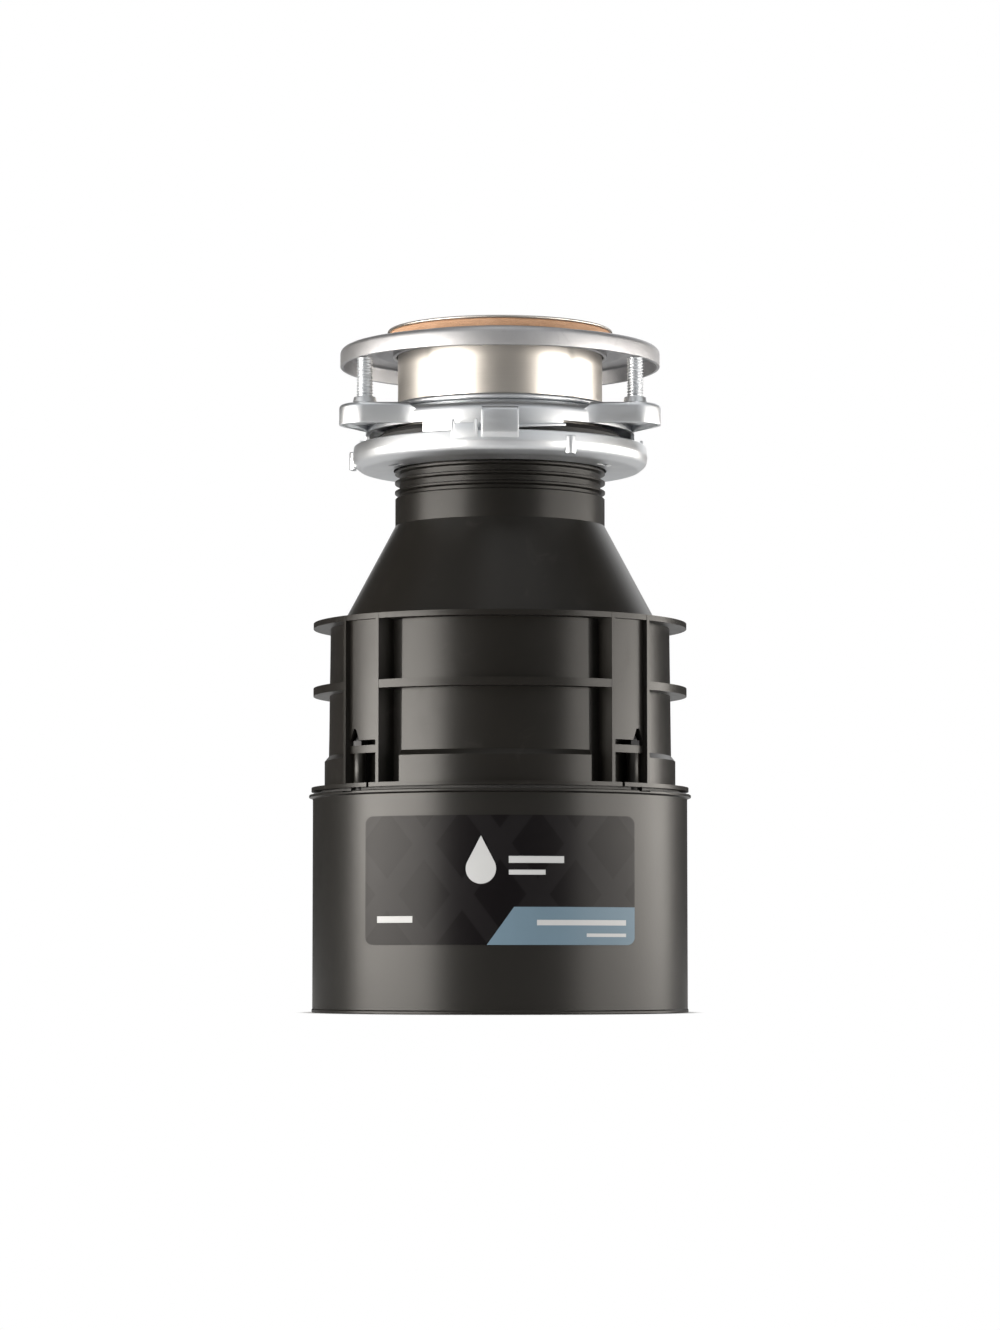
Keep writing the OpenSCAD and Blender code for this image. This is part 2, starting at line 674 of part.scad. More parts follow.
module upper_end_frame() {
    rib_count = 8;
    hub_out_r = bearing_out_r + 5;
    leg_w = 12;
    color("gray") difference() {
        union() {
            translate([0, 0, floor_z]) cylinder(r = can_in_r - 0.2, h = floor_t - rim_t);
            translate([0, 0, lip_top]) cylinder(r = housing_r - 3, h = rim_t);
            translate([0, 0, hub_bottom]) cylinder(r = hub_out_r, h = hub_top - hub_bottom);
            translate([0, 0, seat_z - eps]) cylinder(r1 = hub_out_r + 8, r2 = hub_out_r, h = 5);
            for (i = [0 : rib_count - 1]) rotate([0, 0, (i + 0.5) * 360 / rib_count])
                translate([hub_out_r - 1, -1.5, floor_z - 6]) cube([bolt_circle_r - hub_out_r - 4, 3, 6 + eps]);
            // legs that press the stator stack down
            for (a = bolt_angles) at(a, stator_r - 8, stack_top)
                translate([0, -leg_w / 2, 0]) cube([7.4, leg_w, floor_z - stack_top + eps]);
        }
        translate([0, 0, hub_bottom - 1]) cylinder(r = bearing_out_r, h = upper_bearing_h + 1);
        translate([0, 0, seal_z]) cylinder(r = bearing_out_r + 2, h = seal_h + 1);
        tube(bore_r + 3.4, bore_r + 0.6, seat_z - 1.2, 3);
        for (a = bolt_angles) {
            at(a, bolt_circle_r, floor_z - 1) cylinder(r = bolt_r + 0.2, h = 20);
            at(a, bolt_circle_r - 2.1, lip_top - 0.6) translate([0, -3.5, 0]) cube([12, 7, rim_t + 2]);
        }
    }
}

// ---- discharge ----

module discharge_gasket() {
    color("black") translate([0, pad_y, port_z]) rotate([-90, 0, 0])
        tube(tube_flange_r, port_r, 0, washer_y - pad_y);
}

module discharge_elbow() {
    in_r = tube_r - tube_wall;
    color([0.1, 0.1, 0.1]) {
        difference() {
            union() {
                translate([0, washer_y, port_z]) rotate([-90, 0, 0]) cylinder(r = tube_flange_r, h = flange_y - washer_y);
                translate([0, washer_y, port_z]) rotate([-90, 0, 0]) cylinder(r = tube_r, h = elbow_y - washer_y);
                translate([0, elbow_y, port_z - bend_r]) rotate([90, 0, 90])
                    rotate_extrude(angle = 90) translate([bend_r, 0]) circle(r = tube_r);
                translate([0, leg_y, port_z - bend_r - outlet_l]) cylinder(r = tube_r, h = outlet_l);
            }
            translate([0, washer_y - 1, port_z]) rotate([-90, 0, 0]) cylinder(r = in_r, h = elbow_y - washer_y + 1);
            translate([0, elbow_y, port_z - bend_r]) rotate([90, 0, 90])
                rotate_extrude(angle = 90) translate([bend_r, 0]) circle(r = in_r);
            translate([0, leg_y, port_z - bend_r - outlet_l - 1]) cylinder(r = in_r, h = outlet_l + 1);
        }
    }
}

module discharge_flange() {
    ear_r = 7;
    plate_t = 2.2;
    color("silver") translate([0, flange_y, port_z]) rotate([-90, 0, 0]) difference() {
        union() {
            cylinder(r = tube_flange_r, h = plate_t);
            for (x = [-ear_x, ear_x]) translate([x, 0, 0]) cylinder(r = ear_r, h = plate_t);
            translate([-ear_x, -ear_r, 0]) cube([2 * ear_x, 2 * ear_r, plate_t]);
        }
        translate([0, 0, -1]) cylinder(r = tube_r + 0.2, h = plate_t + 2);
        for (x = [-ear_x, ear_x]) translate([x, 0, -1]) cylinder(r = 2.6, h = plate_t + 2);
    }
}

module discharge_screws() {
    shank_r = 2;
    screw_end = 8;
    color("silver") for (x = [-ear_x, ear_x]) translate([x, pad_y - screw_end, port_z]) rotate([-90, 0, 0]) {
        cylinder(r = shank_r, h = screw_end + flange_y + 2.2 - pad_y + eps);
        translate([0, 0, screw_end + flange_y + 2.2 - pad_y]) hexagon(8, 3.5);
    }
}

// ---- motor ----

module motor_housing() {
    foot_in = 3;
    window_w = 7;
    color([0.16, 0.15, 0.14]) difference() {
        rotate_extrude() polygon([
            [housing_r - foot_in, 0], [housing_r, 0], [housing_r + 0.3, 0.3], [housing_r + 0.3, foot_lip_t],
            [housing_r, foot_lip_t + 0.5], [housing_r, housing_h - 0.6], [housing_r + housing_lip, housing_h],
            [housing_r + housing_lip, lip_top - 0.3], [housing_r + housing_lip - 0.3, lip_top],
            [can_in_r, lip_top], [can_in_r, foot_lip_t], [housing_r - foot_in, foot_lip_t]
        ]);
        for (a = bolt_angles) at(a, can_in_r - 2, lip_top - 0.6)
            translate([0, -window_w / 2, 0]) cube([10, window_w, 4]);
    }
}

module name_plate() {
    plate_t = 0.4;
    plate_z = 28.4;
    half_w = housing_r * sin(plate_half_angle);
    color([0.06, 0.05, 0.06]) intersection() {
        tube(housing_r + plate_t, housing_r, plate_z, plate_h);
        translate([0, -20, plate_z]) rotate([90, 0, 0]) linear_extrude(housing_r) union() {
            for (x = [-1, 1], z = [plate_corner, plate_h - plate_corner])
                translate([x * (half_w - plate_corner), z]) circle(r = plate_corner);
            translate([-half_w + plate_corner, 0]) square([2 * half_w - 2 * plate_corner, plate_h]);
            translate([-half_w, plate_corner]) square([2 * half_w, plate_h - 2 * plate_corner]);
        }
    }
}

module stator_slots(width, mouth) {
    for (i = [0 : slot_count - 1]) rotate((i + 0.5) * 360 / slot_count) {
        translate([slot_in_r, -width / 2]) square([slot_out_r - slot_in_r, width]);
        translate([slot_out_r, 0]) circle(r = width / 2, $fn = 24);
        if (mouth > 0) translate([rotor_r - 1, -mouth / 2]) square([6, mouth]);
    }
}

module stator_core() {
    color("slategray") translate([0, 0, stack_z]) linear_extrude(stack_h) difference() {
        circle(r = stator_r);
        circle(r = rotor_r + air_gap);
        stator_slots(5, 2);
    }
}

// The bundled end turns of a winding, above and below the stack
module end_turns(r_in, r_out, h) {
    bevel = 2;
    for (z = [stack_z - h, stack_top]) translate([0, 0, z]) rotate_extrude() polygon([
        [r_in, bevel], [r_in + bevel, 0], [r_out - bevel, 0], [r_out, bevel],
        [r_out, h - bevel], [r_out - bevel, h], [r_in + bevel, h], [r_in, h - bevel]
    ]);
}

module main_winding() {
    color("sienna") union() {
        end_turns(slot_in_r + 0.5, slot_out_r - 3, head_h);
        intersection() {
            translate([0, 0, stack_z - 3]) linear_extrude(stack_h + 6) stator_slots(4.4, 0);
            tube(slot_out_r - 4, slot_in_r + 0.5, stack_z - 3, stack_h + 6);
        }
    }
}

module start_winding() {
    color("darkgoldenrod") union() {
        end_turns(slot_out_r - 2.6, slot_out_r + 4, head_h - 2);
        intersection() {
            translate([0, 0, stack_z - 3]) linear_extrude(stack_h + 6) stator_slots(4.4, 0);
            tube(slot_out_r + 1.5, slot_out_r - 2.6, stack_z - 3, stack_h + 6);
        }
    }
}

module cage_bars(r) {
    bar_count = 30;
    for (i = [0 : bar_count - 1]) rotate(i * 360 / bar_count) translate([rotor_r - 3.4, 0]) circle(r = r, $fn = 24);
}

module rotor_core() {
    color("slategray") translate([0, 0, stack_z]) linear_extrude(stack_h) difference() {
        circle(r = rotor_r);
        circle(r = shaft_r);
        cage_bars(1.6);
    }
}

module rotor_cage() {
    vane_count = 10;
    color("lightgray") union() {
        for (z = [stack_z - cage_ring_h, stack_top]) tube(rotor_r - 0.8, rotor_r - 11, z, cage_ring_h);
        translate([0, 0, stack_z - eps]) linear_extrude(stack_h + 2 * eps) cage_bars(1.6);
        for (i = [0 : vane_count - 1]) rotate([0, 0, i * 360 / vane_count]) {
            translate([rotor_r - 10, -1, stack_top + cage_ring_h - eps]) cube([8, 2, 5]);
            translate([rotor_r - 10, -1, stack_z - cage_ring_h - 3]) cube([8, 2, 3 + eps]);
        }
    }
}

module rotor_shaft() {
    socket = 6.35;
    socket_depth = 8;
    stud_r = shaft_r - 3;
    color("silver") difference() {
        union() {
            translate([0, 0, frame_top]) cylinder(r = journal_r, h = shoulder_z - frame_top + eps);
            translate([0, 0, shoulder_z]) cylinder(r = shaft_r, h = turntable_z - shoulder_z);
            translate([0, 0, turntable_z - eps]) cylinder(r = stud_r, h = turntable_t + 10);
        }
        translate([0, 0, frame_top - 1]) hexagon(socket, socket_depth + 1);
    }
}

module governor_plate() {
    plate_r = 22;
    plate_t = 1.5;
    color("darkkhaki") difference() {
        union() {
            translate([0, 0, governor_z]) cylinder(r = plate_r, h = plate_t);
            for (a = [0, 180]) sector(16, plate_r - 1, governor_z + plate_t - eps, 4.5, a, 38);
        }
        translate([0, 0, governor_z - 1]) cylinder(r = shaft_r, h = 10);
    }
}

module governor_collar() {
    collar_h = 6.2;
    color("ivory") translate([0, 0, governor_collar_z]) difference() {
        union() {
            cylinder(r = shaft_r + 3.5, h = collar_h);
            translate([0, 0, collar_h - 1.6]) cylinder(r = shaft_r + 6, h = 1.6);
        }
        translate([0, 0, -1]) cylinder(r = shaft_r + 0.06, h = collar_h + 2);
    }
}

module start_switch() {
    board_z = floor_z - 10;
    leaf_t = 0.5;
    color("saddlebrown") {
        translate([-12, -48, board_z]) cube([24, 22, 2]);
        for (x = [-9, 9]) translate([x, -44, board_z + 2 - eps]) cylinder(r = 2.4, h = 8 + eps, $fn = 24);
        translate([-3, -27, board_z + 0.4]) cube([6, 10, leaf_t]);
        translate([-6, -42, board_z - 4]) cube([12, 10, 4 + eps]);
        for (x = [-5, 2]) translate([x, -46, board_z - 4.6]) cube([3, 0.8, 4.6 + eps]);
    }
}

module lower_bearing() {
    color("goldenrod") tube(bearing_out_r - 2, journal_r + run_gap, lower_bearing_z, lower_bearing_h);
}

module thrust_washer() {
    color("sandybrown") tube(bearing_out_r - 2.5, journal_r + 0.1, shoulder_z - washer_t, washer_t);
}

// Places a child at the cover's fixing screw
module cover_screw_place() {
    translate([0, box_y - box_d / 2 - 5, 0]) children();
}

module lower_end_frame() {
    wall = 1.6;
    frame_r = can_in_r - 0.2;
    hub_out_r = bearing_out_r + 3;
    post_w = 12;
    rib_count = 6;
    color("dimgray") difference() {
        union() {
            rotate_extrude() polygon([
                [0, frame_z], [frame_r - 1.6, frame_z], [frame_r - 1.6, foot_lip_t], [frame_r, foot_lip_t],
                [frame_r, frame_top], [0, frame_top]
            ]);
            translate([0, 0, frame_z]) cylinder(r = hub_out_r, h = lower_bearing_z + lower_bearing_h - frame_z);
            for (i = [0 : rib_count - 1]) rotate([0, 0, i * 360 / rib_count])
                translate([hub_out_r - 1, -1.2, frame_top - eps]) cube([24, 2.4, 8]);
            for (a = bolt_angles) at(a, stator_r - 8, frame_top - eps)
                translate([0, -post_w / 2, 0]) cube([7.4, post_w, stack_z - frame_top + eps]);
            // wiring box, open below
            translate([-box_w / 2, box_y - box_d / 2, frame_top - eps]) cube([box_w, box_d, box_h]);
        }
        translate([-box_w / 2 + wall, box_y - box_d / 2 + wall, frame_z - 1])
            cube([box_w - 2 * wall, box_d - 2 * wall, frame_t + box_h - wall + 1]);
        translate([0, 0, lower_bearing_z]) cylinder(r = bearing_out_r - 2, h = 40);
        translate([0, 0, frame_z - 1]) cylinder(r = journal_r + 0.6, h = 40);
        translate([0, button_y, 0]) cylinder(r = button_r + 0.3, h = 12);
        for (a = bolt_angles) {
            at(a, bolt_circle_r, 0) cylinder(r = bolt_r + 0.2, h = 20);
            at(a, bolt_circle_r, -1) cylinder(r = 3.7, h = frame_z + bolt_seat + 1);
        }
        cover_screw_place() cylinder(r = 1.7, h = 20);
        translate([box_w / 2 - 12, box_y + 6, frame_top + box_h - 6]) cylinder(r = 1.8, h = 20);
        // the leads come in through the box's front wall
        for (x = [-8, 8]) translate([x, box_y - box_d / 2 - 1, frame_top + 6]) rotate([-90, 0, 0])
            cylinder(r = 1.9, h = 6, $fn = 24);
    }
}

module through_bolts() {
    bolt_z = frame_z + bolt_seat - 2.6;
    point_z = web_z + web_t + 2.6;
    color("dimgray") for (a = bolt_angles) at(a, bolt_circle_r) {
        translate([0, 0, bolt_z]) hexagon(5.6, 2.6);
        translate([0, 0, frame_z]) cylinder(r = bolt_r, h = point_z - frame_z);
        translate([0, 0, point_z - eps]) cylinder(r1 = bolt_r, r2 = 0.6, h = 2.4);
    }
}

module through_bolt_nuts() {
    color("gray") for (a = bolt_angles) at(a, bolt_circle_r, web_z + web_t) difference() {
        hexagon(5.8, 2);
        translate([0, 0, -1]) cylinder(r = bolt_r, h = 4);
    }
}

module overload_protector() {
    body_r = 9;
    color("black") translate([0, button_y, frame_top]) difference() {
        union() {
            cylinder(r = body_r, h = 13);
            for (x = [-4, 4]) translate([x - 1.5, -0.4, 13 - eps]) cube([3, 0.8, 3]);
        }
        translate([0, 0, -1]) cylinder(r = button_r + 0.3, h = 8);
    }
}

module reset_button() {
    color("red") translate([0, button_y, frame_z - 0.6]) {
        cylinder(r1 = button_r - 0.5, r2 = button_r, h = 0.6 + eps);
        translate([0, 0, 0.6]) cylinder(r = button_r, h = 6.4);
    }
}

module wiring_cover() {
    lap = 4;
    cover_t = 1.2;
    color("gray") difference() {
        union() {
            translate([-box_w / 2 - lap, box_y - box_d / 2 - lap, frame_z - cover_t])
                cube([box_w + 2 * lap, box_d + lap + 2, cover_t]);
            cover_screw_place() translate([0, 0, frame_z - cover_t]) cylinder(r = 6, h = cover_t);
        }
        translate([conduit_x, box_y, 0]) cylinder(r = conduit_r, h = 10);
        cover_screw_place() cylinder(r = 2, h = 10);
    }
}

module wiring_cover_screw() {
    color("silver") cover_screw_place() translate([0, 0, frame_z - 2.6]) difference() {
        union() {
            cylinder(r = 3.4, h = 1.4);
            cylinder(r = 1.6, h = 8);
        }
        translate([-4, -0.5, -1]) cube([8, 1, 1.7]);
    }
}

module ground_screw() {
    color("green") translate([box_w / 2 - 12, box_y + 6, frame_top + box_h - 1.6]) difference() {
        union() {
            hexagon_head();
            cylinder(r = 1.7, h = 5);
        }
        translate([-5, -0.5, -4]) cube([10, 1, 1.7]);
    }
}

module hexagon_head() {
    translate([0, 0, -3]) hexagon(7, 3);
}

// Two insulated leads that curl inside the wiring box
module power_leads() {
    lead_r = 1.4;
    lead_bend_r = 7;
    lead_z = frame_top + 6;
    lead_y = box_y - box_d / 2 - 3;
    run = 12;
    color("dimgray") for (side = [-1, 1]) translate([side * 8, lead_y, lead_z]) {
        rotate([-90, 0, 0]) cylinder(r = lead_r, h = run, $fn = 24);
        translate([side * lead_bend_r, run, 0]) mirror([side < 0 ? 0 : 1, 0, 0])
            rotate_extrude(angle = 90) translate([lead_bend_r, 0]) circle(r = lead_r, $fn = 24);
        translate([side * lead_bend_r, run + lead_bend_r, 0]) rotate([0, side * 90, 0])
            cylinder(r = lead_r, h = 6, $fn = 24);
    }
}

sink_flange();
fibre_gasket();
backup_flange();
mounting_screw_left();
mounting_screw_right();
mounting_screw_rear();
upper_mounting_ring();
snap_ring();
mounting_gasket();
lower_mounting_ring();
hopper();
hopper_gasket();
shredder_ring();
turntable();
turntable_nut();
impeller_left();
impeller_right();
impeller_rivets();
slinger();
shaft_seal();
upper_bearing();
upper_end_frame();
discharge_gasket();
discharge_flange();
discharge_elbow();
discharge_screws();
motor_housing();
name_plate();
stator_core();
main_winding();
start_winding();
rotor_core();
rotor_cage();
rotor_shaft();
governor_plate();
governor_collar();
start_switch();
lower_bearing();
thrust_washer();
lower_end_frame();
through_bolts();
through_bolt_nuts();
overload_protector();
reset_button();
wiring_cover();
wiring_cover_screw();
ground_screw();
power_leads();
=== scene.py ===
import bpy
import bmesh
import json
import math
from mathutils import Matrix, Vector


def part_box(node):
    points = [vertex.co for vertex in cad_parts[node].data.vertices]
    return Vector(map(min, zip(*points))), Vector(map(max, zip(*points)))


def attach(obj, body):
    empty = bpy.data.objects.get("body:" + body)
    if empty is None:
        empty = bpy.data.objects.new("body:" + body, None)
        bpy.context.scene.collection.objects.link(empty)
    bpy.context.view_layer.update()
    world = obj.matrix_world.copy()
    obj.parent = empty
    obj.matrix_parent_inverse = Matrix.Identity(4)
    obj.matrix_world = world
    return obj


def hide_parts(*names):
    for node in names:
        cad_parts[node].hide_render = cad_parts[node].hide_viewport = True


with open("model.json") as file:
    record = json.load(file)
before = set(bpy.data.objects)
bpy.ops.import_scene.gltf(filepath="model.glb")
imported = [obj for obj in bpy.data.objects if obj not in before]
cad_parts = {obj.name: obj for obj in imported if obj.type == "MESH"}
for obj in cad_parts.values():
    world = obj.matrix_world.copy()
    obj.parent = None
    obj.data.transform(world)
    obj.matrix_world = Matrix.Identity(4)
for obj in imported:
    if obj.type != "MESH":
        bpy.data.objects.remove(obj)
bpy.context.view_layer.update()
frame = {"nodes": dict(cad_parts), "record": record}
scene = bpy.context.scene
nodes = frame["nodes"]
print("frame loaded,", len(nodes), "nodes")


# camera, lights and floor
cameraSettings = {"distance": 1.743, "height": 0.022, "tilt": 4.15, "lens": 110.3}


def makeCamera(settings):
    data = bpy.data.cameras.new("mainCamera")
    data.lens = settings["lens"]
    data.sensor_width = 36
    data.clip_start = 0.05
    camera = bpy.data.objects.new("mainCamera", data)
    camera.location = (0, -settings["distance"], settings["height"])
    camera.rotation_euler = (math.radians(90 + settings["tilt"]), 0, 0)
    scene.collection.objects.link(camera)
    scene.camera = camera


warmWhite = (1.0, 0.95, 0.88)
coolWhite = (0.97, 0.99, 1.0)
plainWhite = (1.0, 1.0, 1.0)
# where each softbox hangs: bearing from the front in degrees, height, distance, size and power
studioLights = {
    "leftBox": {
        "bearing": -66, "height": 0.11, "distance": 1.3, "width": 1.38, "tall": 0.42, "power": 37,
        "colour": warmWhite},
    "rightBox": {
        "bearing": 84, "height": 0.11, "distance": 1.3, "width": 2.00, "tall": 0.42, "power": 28,
        "colour": warmWhite},
    "leftMild": {
        "bearing": -44.5, "height": 1.06, "distance": 1.4, "width": 1.86, "tall": 1.10, "power": 5.2,
        "colour": coolWhite},
    "rightMild": {
        "bearing": 45, "height": 1.06, "distance": 1.4, "width": 1.86, "tall": 1.10, "power": 5.2,
        "colour": coolWhite},
    "topBox": {
        "bearing": 20, "height": 1.90, "distance": 0.30, "width": 1.2, "tall": 1.2, "power": 7,
        "colour": plainWhite},
    "backBox": {
        "bearing": 170, "height": 1.0, "distance": 1.4, "width": 1.8, "tall": 1.2, "power": 9,
        "colour": plainWhite},
}
lightTarget = Vector((0, 0, 0.15))


def makeLights(lights):
    for name, box in lights.items():
        data = bpy.data.lights.new(name, "AREA")
        data.shape = "RECTANGLE"
        data.size = box["width"]
        data.size_y = box["tall"]
        data.energy = box["power"]
        data.color = box["colour"]
        light = bpy.data.objects.new(name, data)
        bearing = math.radians(box["bearing"])
        across, back = math.sin(bearing), -math.cos(bearing)
        spot = Vector((across * box["distance"], back * box["distance"], box["height"]))
        light.location = spot
        light.rotation_euler = (lightTarget - spot).to_track_quat("-Z", "Y").to_euler()
        scene.collection.objects.link(light)


def makeWorld():
    world = bpy.data.worlds.new("studio")
    world.use_nodes = True
    tree = world.node_tree
    tree.nodes.clear()
    out = tree.nodes.new("ShaderNodeOutputWorld")
    mix = tree.nodes.new("ShaderNodeMixShader")
    seen = tree.nodes.new("ShaderNodeBackground")
    lit = tree.nodes.new("ShaderNodeBackground")
    path = tree.nodes.new("ShaderNodeLightPath")
    seen.inputs["Color"].default_value = (1, 1, 1, 1)
    seen.inputs["Strength"].default_value = 1.0
    lit.inputs["Color"].default_value = (1, 1, 1, 1)
    lit.inputs["Strength"].default_value = 0.06
    tree.links.new(path.outputs["Is Camera Ray"], mix.inputs["Fac"])
    tree.links.new(lit.outputs[0], mix.inputs[1])
    tree.links.new(seen.outputs[0], mix.inputs[2])
    tree.links.new(mix.outputs[0], out.inputs["Surface"])
    scene.world = world


floorLook = {"radius": 3.0, "shade": 0.90, "shadowReach": 0.0805, "fadeEnd": 0.088}


def makeFloor(look):
    bm = bmesh.new()
    bmesh.ops.create_circle(bm, cap_ends=True, radius=look["radius"], segments=96)
    mesh = bpy.data.meshes.new("floor")
    bm.to_mesh(mesh)
    bm.free()
    floor = bpy.data.objects.new("floor", mesh)
    scene.collection.objects.link(floor)
    paint = bpy.data.materials.new("floorPaint")
    paint.use_nodes = True
    tree = paint.node_tree
    tree.nodes.clear()
    out = tree.nodes.new("ShaderNodeOutputMaterial")
    matt = tree.nodes.new("ShaderNodeBsdfDiffuse")
    matt.inputs["Color"].default_value = (look["shade"], look["shade"], look["shade"], 1)
    glow = tree.nodes.new("ShaderNodeEmission")
    mix = tree.nodes.new("ShaderNodeMixShader")
    place = tree.nodes.new("ShaderNodeTexCoord")
    away = tree.nodes.new("ShaderNodeVectorMath")
    away.operation = "LENGTH"
    fade = tree.nodes.new("ShaderNodeMapRange")
    fade.interpolation_type = "SMOOTHSTEP"
    fade.inputs["From Min"].default_value = look["shadowReach"]
    fade.inputs["From Max"].default_value = look["fadeEnd"]
    path = tree.nodes.new("ShaderNodeLightPath")
    both = tree.nodes.new("ShaderNodeMath")
    both.operation = "MULTIPLY"
    tree.links.new(place.outputs["Object"], away.inputs[0])
    tree.links.new(away.outputs["Value"], fade.inputs["Value"])
    tree.links.new(fade.outputs["Result"], both.inputs[0])
    tree.links.new(path.outputs["Is Camera Ray"], both.inputs[1])
    tree.links.new(both.outputs[0], mix.inputs["Fac"])
    tree.links.new(matt.outputs[0], mix.inputs[1])
    tree.links.new(glow.outputs[0], mix.inputs[2])
    # seen from below, the floor lets the view through
    side = tree.nodes.new("ShaderNodeNewGeometry")
    clear = tree.nodes.new("ShaderNodeBsdfTransparent")
    through = tree.nodes.new("ShaderNodeMixShader")
    tree.links.new(side.outputs["Backfacing"], through.inputs["Fac"])
    tree.links.new(mix.outputs[0], through.inputs[1])
    tree.links.new(clear.outputs[0], through.inputs[2])
    tree.links.new(through.outputs[0], out.inputs["Surface"])
    mesh.materials.append(paint)


makeCamera(cameraSettings)
makeLights(studioLights)
makeWorld()
makeFloor(floorLook)
scene.view_settings.view_transform = "Standard"
scene.view_settings.look = "None"
print("studio ready")


# shared shader groups
def groupWith(name, inputs, outputs):
    group = bpy.data.node_groups.new(name, "ShaderNodeTree")
    for label, kind, value in inputs:
        socket = group.interface.new_socket(name=label, in_out="INPUT", socket_type=kind)
        if value is not None:
            socket.default_value = value
    for label, kind in outputs:
        group.interface.new_socket(name=label, in_out="OUTPUT", socket_type=kind)
    start = group.nodes.new("NodeGroupInput")
    end = group.nodes.new("NodeGroupOutput")
    return group, start, end


def addNode(tree, kind, values=None, **settings):
    node = tree.nodes.new("ShaderNode" + kind)
    for key, value in settings.items():
        setattr(node, key, value)
    for key, value in (values or {}).items():
        node.inputs[key].default_value = value
    return node


def mathNode(tree, operation, a, b=None, clamp=False):
    node = addNode(tree, "Math", operation=operation, use_clamp=clamp)
    for i, value in enumerate((a, b)):
        if value is None:
            continue
        if isinstance(value, (int, float)):
            node.inputs[i].default_value = value
        else:
            tree.links.new(value, node.inputs[i])
    return node.outputs[0]


def mixColours(tree, mask, first, second, blend="MIX"):
    node = addNode(tree, "Mix", data_type="RGBA", blend_type=blend)
    for socket, value in ((node.inputs[0], mask), (node.inputs[6], first), (node.inputs[7], second)):
        if isinstance(value, (int, float)):
            socket.default_value = value
        elif isinstance(value, tuple):
            socket.default_value = (*value, 1)
        else:
            tree.links.new(value, socket)
    return node.outputs[2]


def rampNode(tree, value, low, high, outLow=0.0, outHigh=1.0):
    limits = {"From Min": low, "From Max": high, "To Min": outLow, "To Max": outHigh}
    node = addNode(tree, "MapRange", limits)
    node.clamp = True
    tree.links.new(value, node.inputs["Value"])
    return node.outputs["Result"]


def makeBreakupGroup():
    # cloudy patches, fine grain and scattered scuffs, all from the piece's own coordinates
    group, start, end = groupWith(
        "surfaceBreakup",
        [("Vector", "NodeSocketVector", None), ("Patch Scale", "NodeSocketFloat", 14.0),
         ("Grain Scale", "NodeSocketFloat", 900.0), ("Scuff Scale", "NodeSocketFloat", 60.0)],
        [("Patches", "NodeSocketFloat"), ("Grain", "NodeSocketFloat"), ("Scuffs", "NodeSocketFloat")])
    patches = addNode(group, "TexNoise", {"Detail": 5.0, "Roughness": 0.55, "Distortion": 0.3})
    grain = addNode(group, "TexNoise", {"Detail": 2.0, "Roughness": 0.6})
    scuffs = addNode(group, "TexNoise", {"Detail": 8.0, "Roughness": 0.72, "Distortion": 1.2})
    for node, label in ((patches, "Patch Scale"), (grain, "Grain Scale"), (scuffs, "Scuff Scale")):
        group.links.new(start.outputs["Vector"], node.inputs["Vector"])
        group.links.new(start.outputs[label], node.inputs["Scale"])
    group.links.new(rampNode(group, patches.outputs["Fac"], 0.3, 0.7), end.inputs["Patches"])
    group.links.new(rampNode(group, grain.outputs["Fac"], 0.25, 0.75), end.inputs["Grain"])
    group.links.new(rampNode(group, scuffs.outputs["Fac"], 0.58, 0.74), end.inputs["Scuffs"])
    return group


def makeStreakGroup():
    # fine lines drawn out along one direction, as on rolled or turned metal
    group, start, end = groupWith(
        "drawnStreaks",
        [("Vector", "NodeSocketVector", None), ("Along", "NodeSocketVector", (1.0, 1.0, 60.0)),
         ("Scale", "NodeSocketFloat", 12.0)],
        [("Streaks", "NodeSocketFloat")])
    stretch = addNode(group, "VectorMath", operation="MULTIPLY")
    group.links.new(start.outputs["Vector"], stretch.inputs[0])
    group.links.new(start.outputs["Along"], stretch.inputs[1])
    lines = addNode(group, "TexNoise", {"Detail": 6.0, "Roughness": 0.7})
    group.links.new(stretch.outputs[0], lines.inputs["Vector"])
    group.links.new(start.outputs["Scale"], lines.inputs["Scale"])
    group.links.new(rampNode(group, lines.outputs["Fac"], 0.3, 0.7), end.inputs["Streaks"])
    return group


breakupGroup = makeBreakupGroup()
streakGroup = makeStreakGroup()


def useGroup(tree, group, vector, **values):
    node = tree.nodes.new("ShaderNodeGroup")
    node.node_tree = group
    tree.links.new(vector, node.inputs["Vector"])
    for key, value in values.items():
        node.inputs[key].default_value = value
    return node


def newFinish(name, **sockets):
    material = bpy.data.materials.new(name)
    material.use_nodes = True
    tree = material.node_tree
    shader = tree.nodes["Principled BSDF"]
    for key, value in sockets.items():
        shader.inputs[key.replace("_", " ")].default_value = value
    place = addNode(tree, "TexCoord").outputs["Object"]
    return material, tree, shader, place


def bumpFrom(tree, shader, height, strength, distance):
    bump = addNode(tree, "Bump", {"Strength": strength, "Distance": distance})
    tree.links.new(height, bump.inputs["Height"])
    tree.links.new(bump.outputs["Normal"], shader.inputs["Normal"])
    return bump


# finishes

